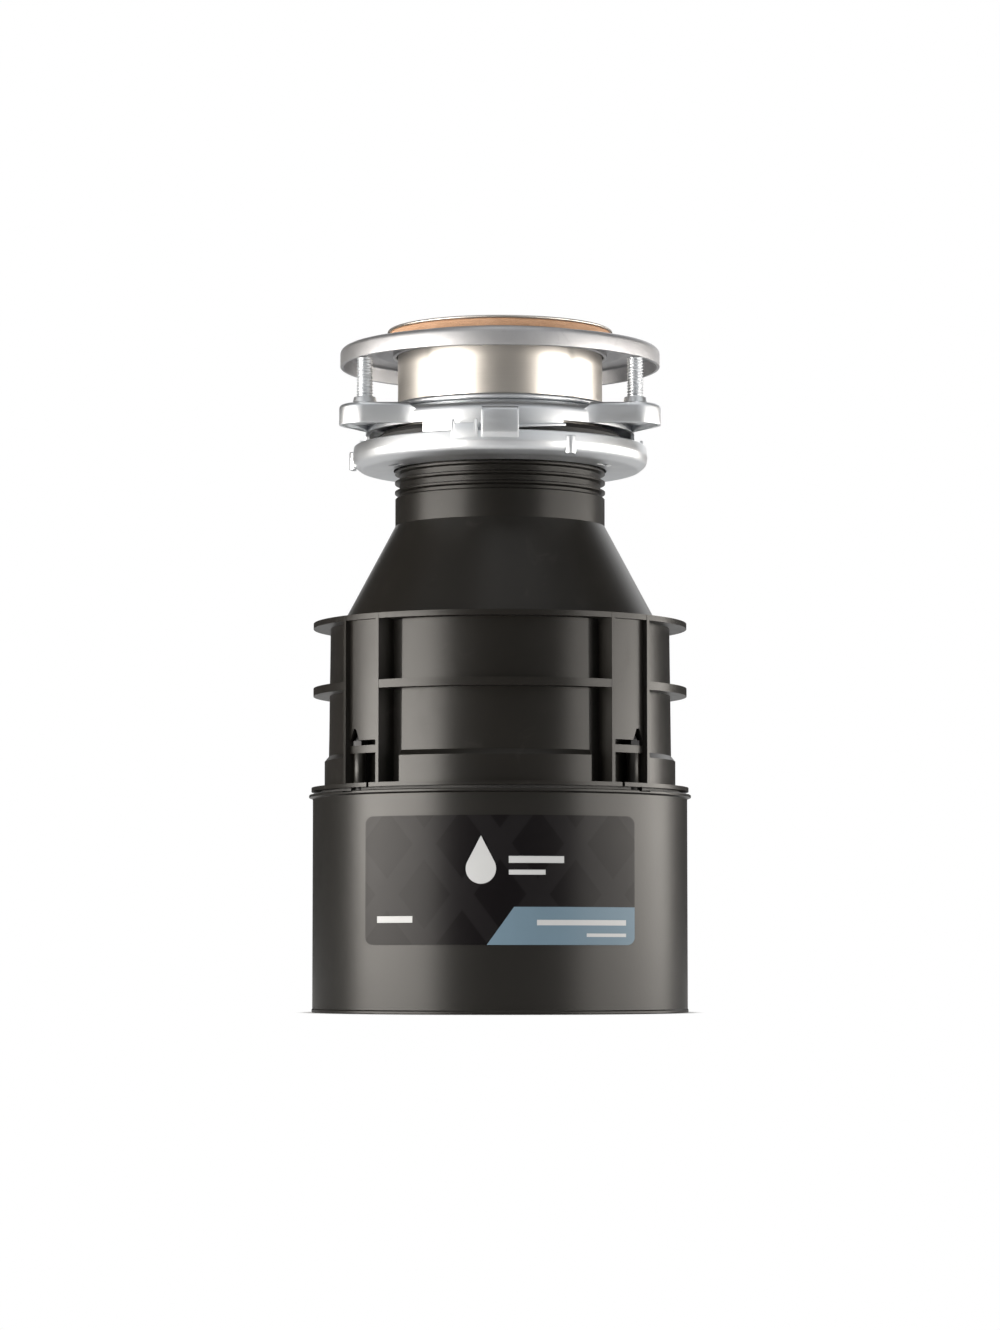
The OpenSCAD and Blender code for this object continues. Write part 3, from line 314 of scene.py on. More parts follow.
def plainFinish(name, base, second, rough, metallic=0.0, patchScale=14.0, grainScale=900.0, grainBump=0.2,
                bumpDistance=0.00008, streaks=None, coat=0.0, coatRough=0.2, scuffColour=None, shine=0.5):
    # the usual build of a finish: two tones in patches, grain in the bump, and roughness that varies;
    # streaks are their direction, their scale, how dark they are and how much they show
    material, tree, shader, place = newFinish(name, Metallic=metallic, Coat_Roughness=coatRough)
    shader.inputs["Specular IOR Level"].default_value = shine
    if coat:
        shader.inputs["Coat Weight"].default_value = coat
    parts = useGroup(tree, breakupGroup, place, **{"Patch Scale": patchScale, "Grain Scale": grainScale})
    colour = mixColours(tree, parts.outputs["Patches"], base, second)
    roughness = rampNode(tree, parts.outputs["Patches"], 0, 1, rough[0], rough[1])
    height = parts.outputs["Grain"]
    if streaks:
        lines = useGroup(tree, streakGroup, place, Along=streaks[0], Scale=streaks[1])
        dark = tuple(c * streaks[2] for c in base)
        mask = mathNode(tree, "MULTIPLY", lines.outputs["Streaks"], streaks[3])
        colour = mixColours(tree, mask, colour, dark)
        rougher = mathNode(tree, "MULTIPLY", lines.outputs["Streaks"], 0.1)
        roughness = mathNode(tree, "ADD", roughness, rougher)
        height = mathNode(tree, "ADD", height, lines.outputs["Streaks"])
    if scuffColour:
        mask = mathNode(tree, "MULTIPLY", parts.outputs["Scuffs"], 0.5)
        colour = mixColours(tree, mask, colour, scuffColour)
        rougher = mathNode(tree, "MULTIPLY", parts.outputs["Scuffs"], 0.08)
        roughness = mathNode(tree, "ADD", roughness, rougher)
    tree.links.new(colour, shader.inputs["Base Color"])
    tree.links.new(roughness, shader.inputs["Roughness"])
    bumpFrom(tree, shader, height, grainBump, bumpDistance)
    return material


around = (1.0, 1.0, 40.0)      # streaks that run round the vertical axis

finishes = {
    "zinc": plainFinish(
        "zincPlate", (0.70, 0.72, 0.74), (0.63, 0.65, 0.68), (0.30, 0.40), 1.0, 30, 700, 0.06,
        streaks=(around, 10, 0.8, 0.18), scuffColour=(0.60, 0.60, 0.62)),
    "steel": plainFinish(
        "turnedSteel", (0.58, 0.58, 0.59), (0.48, 0.48, 0.50), (0.25, 0.38), 1.0, 30, 900, 0.12,
        streaks=(around, 30, 0.6, 0.5)),
    "fibre": plainFinish(
        "pressedFibre", (0.66, 0.40, 0.25), (0.56, 0.32, 0.19), (0.80, 0.92), 0.0, 60, 1400, 0.8,
        0.0003, streaks=((1.0, 1.0, 6.0), 160, 0.55, 0.6)),
    "rubber": plainFinish(
        "mouldedRubber", (0.018, 0.018, 0.018), (0.030, 0.030, 0.031), (0.55, 0.72), 0.0, 22, 1100,
        0.35, 0.0001, scuffColour=(0.07, 0.07, 0.07)),
    "red_plastic": plainFinish(
        "redPlastic", (0.48, 0.012, 0.010), (0.40, 0.010, 0.008), (0.32, 0.45), 0.0, 90, 1500, 0.2),
    "black_plastic": plainFinish(
        "blackPlastic", (0.022, 0.022, 0.023), (0.032, 0.032, 0.033), (0.38, 0.5), 0.0, 40, 1300, 0.3),
    "hopper_plastic": plainFinish(
        "satinPlastic", (0.0075, 0.007, 0.006), (0.011, 0.0095, 0.008), (0.30, 0.36), 0.0, 12, 1500,
        0.18, 0.00005, scuffColour=(0.024, 0.022, 0.02), shine=0.26),
    "housing_paint": plainFinish(
        "housingPaint", (0.0075, 0.007, 0.006), (0.010, 0.009, 0.0078), (0.32, 0.38), 0.0, 10, 520,
        0.14, 0.00005, shine=0.28),
    "cover_paint": plainFinish(
        "coverPaint", (0.10, 0.095, 0.09), (0.13, 0.125, 0.12), (0.38, 0.5), 0.0, 20, 600, 0.25),
    "aluminium": plainFinish(
        "castAluminium", (0.55, 0.56, 0.57), (0.44, 0.45, 0.46), (0.42, 0.6), 1.0, 25, 800, 0.6, 0.0002,
        scuffColour=(0.3, 0.3, 0.3)),
    "cast_alloy": plainFinish(
        "castAlloy", (0.36, 0.36, 0.37), (0.26, 0.26, 0.27), (0.38, 0.55), 1.0, 30, 600, 0.7, 0.0002,
        scuffColour=(0.16, 0.14, 0.12)),
    "bronze": plainFinish(
        "sinteredBronze", (0.55, 0.36, 0.16), (0.42, 0.26, 0.12), (0.4, 0.55), 1.0, 60, 2200, 0.6),
    "copper": plainFinish(
        "enamelledCopper", (0.52, 0.20, 0.075), (0.38, 0.12, 0.045), (0.22, 0.34), 1.0, 60, 900, 0.5,
        0.0003, streaks=(around, 60, 0.4, 0.7)),
    "lamination": plainFinish(
        "steelLaminations", (0.24, 0.25, 0.27), (0.17, 0.17, 0.19), (0.40, 0.55), 1.0, 30, 900, 0.5,
        0.0003, streaks=((0.4, 0.4, 110.0), 16, 0.35, 0.9)),
    "dark_steel": plainFinish(
        "phosphatedSteel", (0.07, 0.07, 0.072), (0.05, 0.05, 0.052), (0.48, 0.6), 1.0, 60, 1400, 0.3),
    "phenolic": plainFinish(
        "phenolicBoard", (0.16, 0.065, 0.028), (0.11, 0.042, 0.02), (0.4, 0.55), 0.0, 60, 1600, 0.4,
        streaks=((1.0, 14.0, 14.0), 60, 0.6, 0.5)),
    "nylon": plainFinish(
        "naturalNylon", (0.72, 0.67, 0.52), (0.66, 0.60, 0.45), (0.4, 0.5), 0.0, 60, 1500, 0.2),
    "green_paint": plainFinish(
        "greenScrew", (0.02, 0.20, 0.05), (0.015, 0.15, 0.04), (0.3, 0.42), 0.6, 80, 1500, 0.2),
    "pipe_plastic": plainFinish(
        "pipePlastic", (0.022, 0.022, 0.022), (0.030, 0.030, 0.031), (0.24, 0.36), 0.0, 16, 1200, 0.2,
        0.00006, scuffColour=(0.06, 0.06, 0.06)),
}
print("finishes ready")


# brushed stainless: highlights drawn out round the sleeve, with faint upright seams
sleeveLook = {
    "base": (0.54, 0.515, 0.485), "second": (0.49, 0.465, 0.435), "rough": (0.26, 0.34), "anisotropic": 0.5,
    "seams": (-0.0302, 0.0302), "seamWidth": 0.0009, "seamDark": 0.55, "streakDark": 0.82,
}


def sleeveFinish(look):
    material, tree, shader, place = newFinish("brushedStainless", Metallic=1.0)
    shader.inputs["Anisotropic"].default_value = look["anisotropic"]
    tangent = addNode(tree, "Tangent", direction_type="RADIAL", axis="Z")
    tree.links.new(tangent.outputs[0], shader.inputs["Tangent"])
    parts = useGroup(tree, breakupGroup, place, **{"Patch Scale": 16.0, "Grain Scale": 900.0})
    lines = useGroup(tree, streakGroup, place, Along=around, Scale=40.0)
    colour = mixColours(tree, parts.outputs["Patches"], look["base"], look["second"])
    dark = tuple(c * look["streakDark"] for c in look["base"])
    colour = mixColours(tree, mathNode(tree, "MULTIPLY", lines.outputs["Streaks"], 0.3), colour, dark)
    split = addNode(tree, "SeparateXYZ")
    tree.links.new(place, split.inputs[0])
    front = mathNode(tree, "LESS_THAN", split.outputs["Y"], 0.0)
    for x in look["seams"]:
        away = mathNode(tree, "ABSOLUTE", mathNode(tree, "SUBTRACT", split.outputs["X"], x))
        seam = rampNode(tree, away, look["seamWidth"] * 0.4, look["seamWidth"] * 2.2, 0.5, 0.0)
        colour = mixColours(tree, mathNode(tree, "MULTIPLY", seam, front), colour,
                            tuple(c * look["seamDark"] for c in look["base"]))
    tree.links.new(colour, shader.inputs["Base Color"])
    rough = rampNode(tree, parts.outputs["Patches"], 0, 1, *look["rough"])
    tree.links.new(mathNode(tree, "ADD", rough, mathNode(tree, "MULTIPLY", lines.outputs["Streaks"], 0.06)),
                   shader.inputs["Roughness"])
    bumpFrom(tree, shader, lines.outputs["Streaks"], 0.04, 0.00005)
    return material


finishes["stainless"] = sleeveFinish(sleeveLook)
# the stamped dish is duller than the rings
dullZinc = plainFinish(
    "dullZinc", (0.46, 0.46, 0.47), (0.37, 0.37, 0.385), (0.42, 0.54), 1.0, 34, 1100, 0.25, 0.0001,
    scuffColour=(0.30, 0.30, 0.31))


# the drain chamber's casting is plain inside; its outer edge is painted near-black and non-metallic, as
# painted shade for the recessed gap under the hopper
paintedShadeRimLook = {
    "base": (0.55, 0.56, 0.57), "edge": (0.03, 0.03, 0.03), "from": 0.0720, "to": 0.0735,
    "rough": (0.5, 0.62), "patchDark": 0.8,
}


def paintedShadeRimFinish(look):
    material, tree, shader, place = newFinish("castingPaintedShadeRim")
    parts = useGroup(tree, breakupGroup, place, **{"Patch Scale": 25.0, "Grain Scale": 800.0})
    split = addNode(tree, "SeparateXYZ")
    tree.links.new(place, split.inputs[0])
    x, y = split.outputs["X"], split.outputs["Y"]
    squares = mathNode(tree, "ADD", mathNode(tree, "MULTIPLY", x, x), mathNode(tree, "MULTIPLY", y, y))
    away = mathNode(tree, "SQRT", squares)
    # painted shade: from 72 to 73.5 mm out the rim turns near-black and stops being metal
    edge = rampNode(tree, away, look["from"], look["to"], 0.0, 1.0)
    second = tuple(c * look["patchDark"] for c in look["base"])
    colour = mixColours(tree, parts.outputs["Patches"], look["base"], second)
    tree.links.new(mixColours(tree, edge, colour, look["edge"]), shader.inputs["Base Color"])
    tree.links.new(mathNode(tree, "SUBTRACT", 1.0, edge), shader.inputs["Metallic"])
    roughness = rampNode(tree, parts.outputs["Patches"], 0, 1, *look["rough"])
    tree.links.new(roughness, shader.inputs["Roughness"])
    bumpFrom(tree, shader, parts.outputs["Grain"], 0.5, 0.0001)
    return material


finishes["aluminium_painted_shade_rim"] = paintedShadeRimFinish(paintedShadeRimLook)
# nodes whose finish differs a little from their slot's usual one
# the upper end frame takes the casting whose rim carries painted shade
ownFinish = {"upper_end_frame": "aluminium_painted_shade_rim", "through_bolt_nuts": "dark_steel"}

# name plate: a dark film with faint crossing bands, a blue field, a plain drop and blank bars
plateLook = {
    "film": (0.0022, 0.0014, 0.0020), "band": (0.011, 0.010, 0.011), "blue": (0.13, 0.195, 0.25),
    "shine": 0.13, "pale": (0.48, 0.49, 0.50), "slope": 0.75, "bandStart": 0.31, "bandEvery": 0.0155,
    "bandWidth": 0.0045, "bandBlur": 0.0006, "bandShow": 0.55,
    "dust": (0.012, 0.012, 0.012), "dustShow": 0.12,
    "blueRise": 0.0155, "blueLeft": -0.0054, "blueSlant": 0.72,
    "dropX": -0.0078, "dropZ": 0.0595, "dropR": 0.0062, "dropTip": 0.0135,
    # blank bars: left, right, bottom, top
    "bars": [
        (-0.0506, -0.0359, 0.0375, 0.0402), (0.0036, 0.0262, 0.0618, 0.0646),
        (0.0036, 0.0186, 0.0570, 0.0590), (0.0151, 0.0519, 0.0364, 0.0386), (0.0355, 0.0519, 0.0317, 0.0331)],
}


def plateFinish(look):
    material, tree, shader, place = newFinish("nameFilm")
    shader.inputs["Specular IOR Level"].default_value = look["shine"]
    split = addNode(tree, "SeparateXYZ")
    tree.links.new(place, split.inputs[0])
    x, z = split.outputs["X"], split.outputs["Z"]

    def minus(a, b):
        return mathNode(tree, "SUBTRACT", a, b)

    def times(a, b):
        return mathNode(tree, "MULTIPLY", a, b)

    def below(a, b):
        return mathNode(tree, "LESS_THAN", a, b)

    rise = minus(z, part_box("name_plate")[0].z)
    lean = times(rise, look["slope"])
    # bands that lean both ways, strongest where they cross
    bands = None
    blurEnd = look["bandWidth"] + look["bandBlur"]
    for slant in (minus(x, lean), mathNode(tree, "ADD", x, lean)):
        wave = mathNode(tree, "PINGPONG", mathNode(tree, "ADD", slant, look["bandStart"]), look["bandEvery"])
        edge = rampNode(tree, wave, look["bandWidth"], blurEnd, look["bandShow"], 0.0)
        bands = edge if bands is None else mathNode(tree, "MAXIMUM", bands, edge)
    colour = mixColours(tree, bands, look["film"], look["band"])
    edge = minus(x, times(rise, look["blueSlant"]))
    blue = times(mathNode(tree, "GREATER_THAN", edge, look["blueLeft"]), below(rise, look["blueRise"]))
    colour = mixColours(tree, blue, colour, look["blue"])
    # the drop: a round belly below, straight flanks up to a point
    dx, dz = minus(x, look["dropX"]), minus(z, look["dropZ"])
    away = mathNode(tree, "SQRT", mathNode(tree, "ADD", times(dx, dx), times(dz, dz)))
    reach = math.asin(look["dropR"] / look["dropTip"])
    flank = times(mathNode(tree, "SUBTRACT", look["dropTip"], dz), math.tan(reach))
    point = times(below(mathNode(tree, "ABSOLUTE", dx), flank),
                  mathNode(tree, "GREATER_THAN", dz, look["dropR"] * math.sin(reach)))
    drop = mathNode(tree, "MAXIMUM", below(away, look["dropR"]), point)
    marks = drop
    for left, right, bottom, top in look["bars"]:
        across = times(mathNode(tree, "GREATER_THAN", x, left), below(x, right))
        upward = times(mathNode(tree, "GREATER_THAN", z, bottom), below(z, top))
        marks = mathNode(tree, "MAXIMUM", marks, times(across, upward))
    front = below(split.outputs["Y"], 0.0)
    colour = mixColours(tree, times(marks, front), colour, look["pale"])
    parts = useGroup(tree, breakupGroup, place, **{"Patch Scale": 20.0, "Grain Scale": 800.0})
    colour = mixColours(tree, times(parts.outputs["Patches"], look["dustShow"]), colour, look["dust"])
    tree.links.new(colour, shader.inputs["Base Color"])
    tree.links.new(rampNode(tree, parts.outputs["Patches"], 0, 1, 0.32, 0.38), shader.inputs["Roughness"])
    bumpFrom(tree, shader, parts.outputs["Grain"], 0.04, 0.00003)
    return material


finishes["label"] = plateFinish(plateLook)


# tools that the shaped pieces share; all sizes below are in metres
mm = 0.001


def boxOf(node):
    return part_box(node)


def bentGrid(bm, across, along, place):
    # a flat grid bent into shape: place turns the two grid counts into a point
    made = bmesh.ops.create_grid(bm, x_segments=across, y_segments=along, size=1.0)["verts"]
    for vert in made:
        i = round((vert.co.x + 1) / 2 * across)
        j = round((vert.co.y + 1) / 2 * along)
        vert.co = place(i, j)
    return made


def polar(angle, radius, height):
    # the angle counts from the front, towards the right
    return Vector((math.sin(angle) * radius, -math.cos(angle) * radius, height))


def softPath(corners, closed=True, steps=4):
    # corners are (radius, height, fillet) in millimetres
    count = len(corners)
    path = []
    for k, (r, z, fillet) in enumerate(corners):
        here = Vector((r, z))
        ends = not closed and k in (0, count - 1)
        if fillet <= 0 or ends:
            path.append(here * mm)
            continue
        before = Vector(corners[k - 1][:2]) - here
        after = Vector(corners[(k + 1) % count][:2]) - here
        turn = before.angle(after)
        reach = min(fillet / math.tan(turn / 2), before.length * 0.49, after.length * 0.49)
        radius = reach * math.tan(turn / 2)
        middle = (before.normalized() + after.normalized()).normalized()
        centre = here + middle * (radius / math.sin(turn / 2))
        first = here + before.normalized() * reach - centre
        last = here + after.normalized() * reach - centre
        sweep = first.angle_signed(last)
        for s in range(steps + 1):
            part = -sweep * s / steps
            c, d = math.cos(part), math.sin(part)
            path.append((centre + Vector((first.x * c - first.y * d, first.x * d + first.y * c))) * mm)
    return path


def ringOf(bm, path, angles, closed=True, full=True, shift=None):
    # carries a path of (radius, height) round the axis; shift may move each point
    count = len(path)
    along = count if closed else count - 1

    def place(i, j):
        angle = angles[i]
        r, z = path[j % count]
        if shift:
            r, z = shift(angle, r, z)
        return polar(angle, r, z)

    made = bentGrid(bm, len(angles) - 1, along, place)
    bmesh.ops.remove_doubles(bm, verts=made, dist=1e-7)
    if not full:
        rims = [e for e in bm.edges if e.is_boundary]
        bmesh.ops.holes_fill(bm, edges=rims, sides=0)
    return made


def turnSteps(count, start=0.0, end=360.0):
    return [math.radians(start + (end - start) * i / count) for i in range(count + 1)]


def joinInto(target, extra):
    mesh = bpy.data.meshes.new("part")
    extra.to_mesh(mesh)
    extra.free()
    target.from_mesh(mesh)
    bpy.data.meshes.remove(mesh)


def finishPiece(bm, name, finish, body, replaced, sharpAngle=38):
    bmesh.ops.recalc_face_normals(bm, faces=bm.faces)
    for face in bm.faces:
        face.smooth = True
    for edge in bm.edges:
        if len(edge.link_faces) == 2 and edge.calc_face_angle(0.0) > math.radians(sharpAngle):
            edge.smooth = False
    mesh = bpy.data.meshes.new(name)
    bm.to_mesh(mesh)
    bm.free()
    mesh.materials.append(finishes[finish])
    piece = bpy.data.objects.new(name, mesh)
    scene.collection.objects.link(piece)
    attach(piece, body)
    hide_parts(*replaced)
    return piece


# where the lobes and the hooks stand round the axis, in degrees and in radians
lobeTurns = (60, 180, 300)
hookTurns = (0, 120, 240)
lobeAngles = [math.radians(a) for a in lobeTurns]
hookAngles = [math.radians(a) for a in hookTurns]
screwLow, screwHigh = boxOf("mounting_screw_right")
screwCentre = (screwLow + screwHigh) / 2
screwCircle = math.hypot(screwCentre.x, screwCentre.y)


# the sink sleeve with its thin rim, turned over at the edge
sleeveShape = {"radius": 44.0, "wall": 1.2, "edge": 0.5, "groove": 0.6}


def makeSleeve(shape):
    low, high = boxOf("sink_flange")
    snapLow, snapHigh = boxOf("snap_ring")
    top, bottom = high.z / mm, low.z / mm
    rim = high.x / mm
    under = boxOf("fibre_gasket")[1].z / mm
    r = shape["radius"]
    inner = r - shape["wall"]
    groove = r - shape["groove"]
    path = softPath([
        (inner, bottom, 0.3), (r, bottom, 0.3), (r, snapLow.z / mm, 0.1), (groove, snapLow.z / mm, 0.2),
        (groove, snapHigh.z / mm, 0.2), (r, snapHigh.z / mm, 0.1), (r, under, 0.3),
        (rim, under, shape["edge"]), (rim, top, shape["edge"]), (r + 1.6, top - 0.2, 1.0),
        (inner + 0.5, top - 1, 1.0), (inner, top - 2.2, 1.0)])
    bm = bmesh.new()
    ringOf(bm, path, turnSteps(192))
    return finishPiece(bm, "sinkSleeve", "stainless", "disposer", ["sink_flange"])


# the stamped dish under the sink, with a rolled lip round the sleeve
dishShape = {"thick": 1.5, "dome": 2.8, "domeR": 52.0, "lipR": 44.6, "lipDrop": 6.6}


def makeDish(shape):
    low, high = boxOf("backup_flange")
    r = high.x / mm
    top, bottom = high.z / mm - shape["dome"], low.z / mm
    t = shape["thick"]
    domeR, dome = shape["domeR"], shape["dome"]
    lip = shape["lipR"]
    path = softPath([
        (lip, top + dome, 1.4), (domeR, top + dome, 2.2), (domeR + 3, top, 2.2), (r, top, 2.4),
        (r, bottom, 0.5), (r - t, bottom, 0.4), (r - t, top - t, 0.9), (domeR + 2.2, top - t, 1.2),
        (domeR - 0.8, top + dome - t, 1.5), (lip + t, top + dome - t, 1.8),
        (lip + t, top + dome - shape["lipDrop"], 0.5), (lip, top + dome - shape["lipDrop"], 0.5)], steps=5)
    bm = bmesh.new()
    ringOf(bm, path, turnSteps(216))
    piece = finishPiece(bm, "backupDish", "zinc", "backup_flange", ["backup_flange"])
    piece.data.materials[0] = dullZinc
    return piece


# the fibre washer, with soft corners
washerShape = {"innerR": 44.4, "innerFillet": 0.4, "outerFillet": 0.6}


def makeWasher(shape):
    low, high = boxOf("fibre_gasket")
    r, inner = high.x / mm, shape["innerR"]
    bottom, top = low.z / mm, high.z / mm
    soft, softer = shape["innerFillet"], shape["outerFillet"]
    path = softPath([(inner, bottom, soft), (r, bottom, softer), (r, top, softer), (inner, top, soft)])
    bm = bmesh.new()
    ringOf(bm, path, turnSteps(160))
    return finishPiece(bm, "fibreWasher", "fibre", "backup_flange", ["fibre_gasket"])


# the upper mounting ring: a round stamping with three screw lobes, a bead and three ledges
upperShape = {
    "skirtR": 57.8, "thick": 1.5, "topFillet": 3.2, "lobeR": 10.8, "lobeHeight": 9.0, "lobeFillet": 2.0,
    "faceDrop": 2.2, "collarRise": 3.19, "beadR": 1.3, "tilt": 4.15, "rampRise": 12.2, "rampOut": 2.8,
    "cutStart": -34.0, "cutEnd": 27.3, "rampStart": -25.0, "rampEnd": 27.0, "screwR": 3.5,
    "beadRing": 46.2, "beadHeight": 2.0, "plateR": 51.5, "lobeSteps": 24,
}


def makeUpperRing(shape):
    seat = boxOf("lower_mounting_ring")[0].z / mm
    top = boxOf("upper_mounting_ring")[1].z / mm - shape["collarRise"]
    lobeBottom = top - shape["lobeHeight"]
    faceTop = top - shape["faceDrop"]
    r, t = shape["skirtR"], shape["thick"]
    beadRing = shape["beadRing"]
    slope = math.tan(math.radians(shape["tilt"]))
    rampZ = seat + shape["rampRise"]
    screwR = shape["screwR"]

    def fromHook(angle):
        # degrees from the nearest hook, which stands in the middle of a ledge
        turn = math.degrees(angle) % 120
        return turn - 120 if turn > 60 else turn

    def ledgeHeight(angle):
        return (rampZ + r * math.sin(math.radians(fromHook(angle))) * slope) * mm

    bm = bmesh.new()
    # round body; its lower edge follows the ledges and steps up under the lobes
    path = softPath([
        (beadRing, top + 0.5, 0.2), (beadRing + 1.0, top + 0.5, 0.5), (r - 5.6, faceTop + 0.7, 3.0),
        (r, faceTop + 0.1, shape["topFillet"]), (r, lobeBottom + 0.4, 0), (r, seat, 0), (r - t, seat, 0),
        (r - t, lobeBottom + 0.4, 0), (r - t, faceTop - 1.6, 2.0), (r - 6.8, faceTop - 0.7, 2.0),
        (beadRing, top - 0.6, 0.2)], steps=5)

    def skirt(angle, pr, pz):
        if pz > (seat + 0.5) * mm:
            return pr, pz
        part = fromHook(angle)
        if shape["cutStart"] <= part <= shape["cutEnd"]:
            return pr, ledgeHeight(angle) - t * mm
        return pr, lobeBottom * mm

    angles = set(turnSteps(180))
    for hook in hookTurns:
        for part in (shape["cutStart"], shape["cutEnd"]):
            for side in (-0.05, 0.05):
                angles.add(math.radians((hook + part + side) % 360))
    angles = sorted(angles)
    ringOf(bm, path, angles, shift=skirt)

    # lobes, whose inner part stays inside the wall of the round body; an entry of the outline is
    # the lobe's centre, the way the point faces and, between two lobes, how far along it stands
    outline = []
    steps, half = shape["lobeSteps"], 180 // len(lobeTurns)
    for lobe in lobeAngles:
        centre = polar(lobe, screwCircle / mm, 0)
        for step in range(steps + 1):
            outline.append((centre, lobe + math.radians(-half + 2 * half // steps * step)))
        for step in range(1, steps):
            outline.append((centre, lobe + math.radians(half), step / steps))
    section = softPath([(0, lobeBottom, 0.4), (0, top, shape["lobeFillet"]), (-4, top, 0), (-4, top - t, 0),
                        (-t, top - t, 1.0), (-t, lobeBottom, 0.4)], steps=5)
    plateTop = [k for k, point in enumerate(section) if abs(point[0] + 4 * mm) < 1e-6]

    def lobePoint(i, j):
        entry = outline[i % len(outline)]
        inset, z = section[j % len(section)]
        centre, facing = entry[0], entry[1]
        point = centre + polar(facing, shape["lobeR"] + inset / mm, 0)
        if len(entry) > 2:
            following = polar(facing + math.radians(half), screwCircle / mm, 0)
            point += (following - centre) * entry[2]
        away = math.hypot(point.x, point.y)
        limit = r - 0.5 - (0.3 if inset < -1 * mm else 0)
        if j % len(section) in plateTop:
            inner = shape["plateR"]
            point = Vector((point.x / away * inner, point.y / away * inner, 0))
            z = (faceTop + (0.2 if j % len(section) == plateTop[0] else -0.6)) * mm
        elif away < limit:
            point = Vector((point.x / away * limit, point.y / away * limit, 0))
            z = min(z, (faceTop - 1.5) * mm)
        return Vector((point.x * mm, point.y * mm, z))

    lobes = bmesh.new()
    bentGrid(lobes, len(outline), len(section), lobePoint)
    bmesh.ops.remove_doubles(lobes, verts=lobes.verts, dist=1e-7)
    bmesh.ops.recalc_face_normals(lobes, faces=lobes.faces)
    joinInto(bm, lobes)

    # ledges, folded outwards from the skirt
    out = r + shape["rampOut"]
    for hook in hookTurns:
        ledge = bmesh.new()
        section = softPath([(r - 0.8, 0, 0), (out, 0, 0.6), (out, -t, 0.6), (r - 0.8, -t, 0)])
        stretch = turnSteps(28, hook + shape["rampStart"], hook + shape["rampEnd"])
        ringOf(ledge, section, stretch, full=False,
               shift=lambda angle, pr, pz: (pr, pz + ledgeHeight(angle)))
        joinInto(bm, ledge)

    # bead round the sleeve
    bead = bmesh.new()
    beadR, beadZ = shape["beadR"], top + shape["beadHeight"]
    circle = [Vector((beadRing + beadR * math.cos(math.radians(a)),
                      beadZ + beadR * math.sin(math.radians(a)))) * mm for a in range(0, 360, 24)]
    ringOf(bead, circle, turnSteps(180))
    joinInto(bm, bead)

    # threaded collars
    for lobe in lobeAngles:
        collar = bmesh.new()
        tap = screwR + 0.15
        rise = shape["collarRise"]
        section = softPath([
            (tap, 0.0, 0.2), (tap, rise, 0.3), (screwR + 1.1, rise, 0.6), (screwR + 1.6, 0.6, 0.8),
            (screwR + 3.4, -0.2, 0.4), (screwR + 1.0, -t, 0)], steps=3)
        ringOf(collar, section, turnSteps(40))
        bmesh.ops.translate(collar, verts=collar.verts, vec=polar(lobe, screwCircle, top * mm))
        joinInto(bm, collar)
    return finishPiece(bm, "upperMountingRing", "zinc", "disposer", ["upper_mounting_ring"])


# the lower mounting ring: a rounded channel with hooks, stop tabs, eyes and slots in its floor
lowerShape = {
    "ringR": 63.4, "thick": 1.5, "height": 10.4, "floorR": 45.6,
    "hookOut": 0.6, "hookRise": 20.2, "hookHalf": 7.05, "hookLegR": 58.8, "hookTip": 13.4, "hookEdge": 0.3,
    "tabOffset": -13.6, "tabHalf": 5.2, "tabRise": 13.2, "hornRise": 1.9, "eyeOffset": 28.0, "eyeR": 2.4,
    "eyeHole": 1.2, "eyeRise": 7.9, "slotInner": 49.5, "slotOuter": 52.5, "slotHalf": 5.0,
}


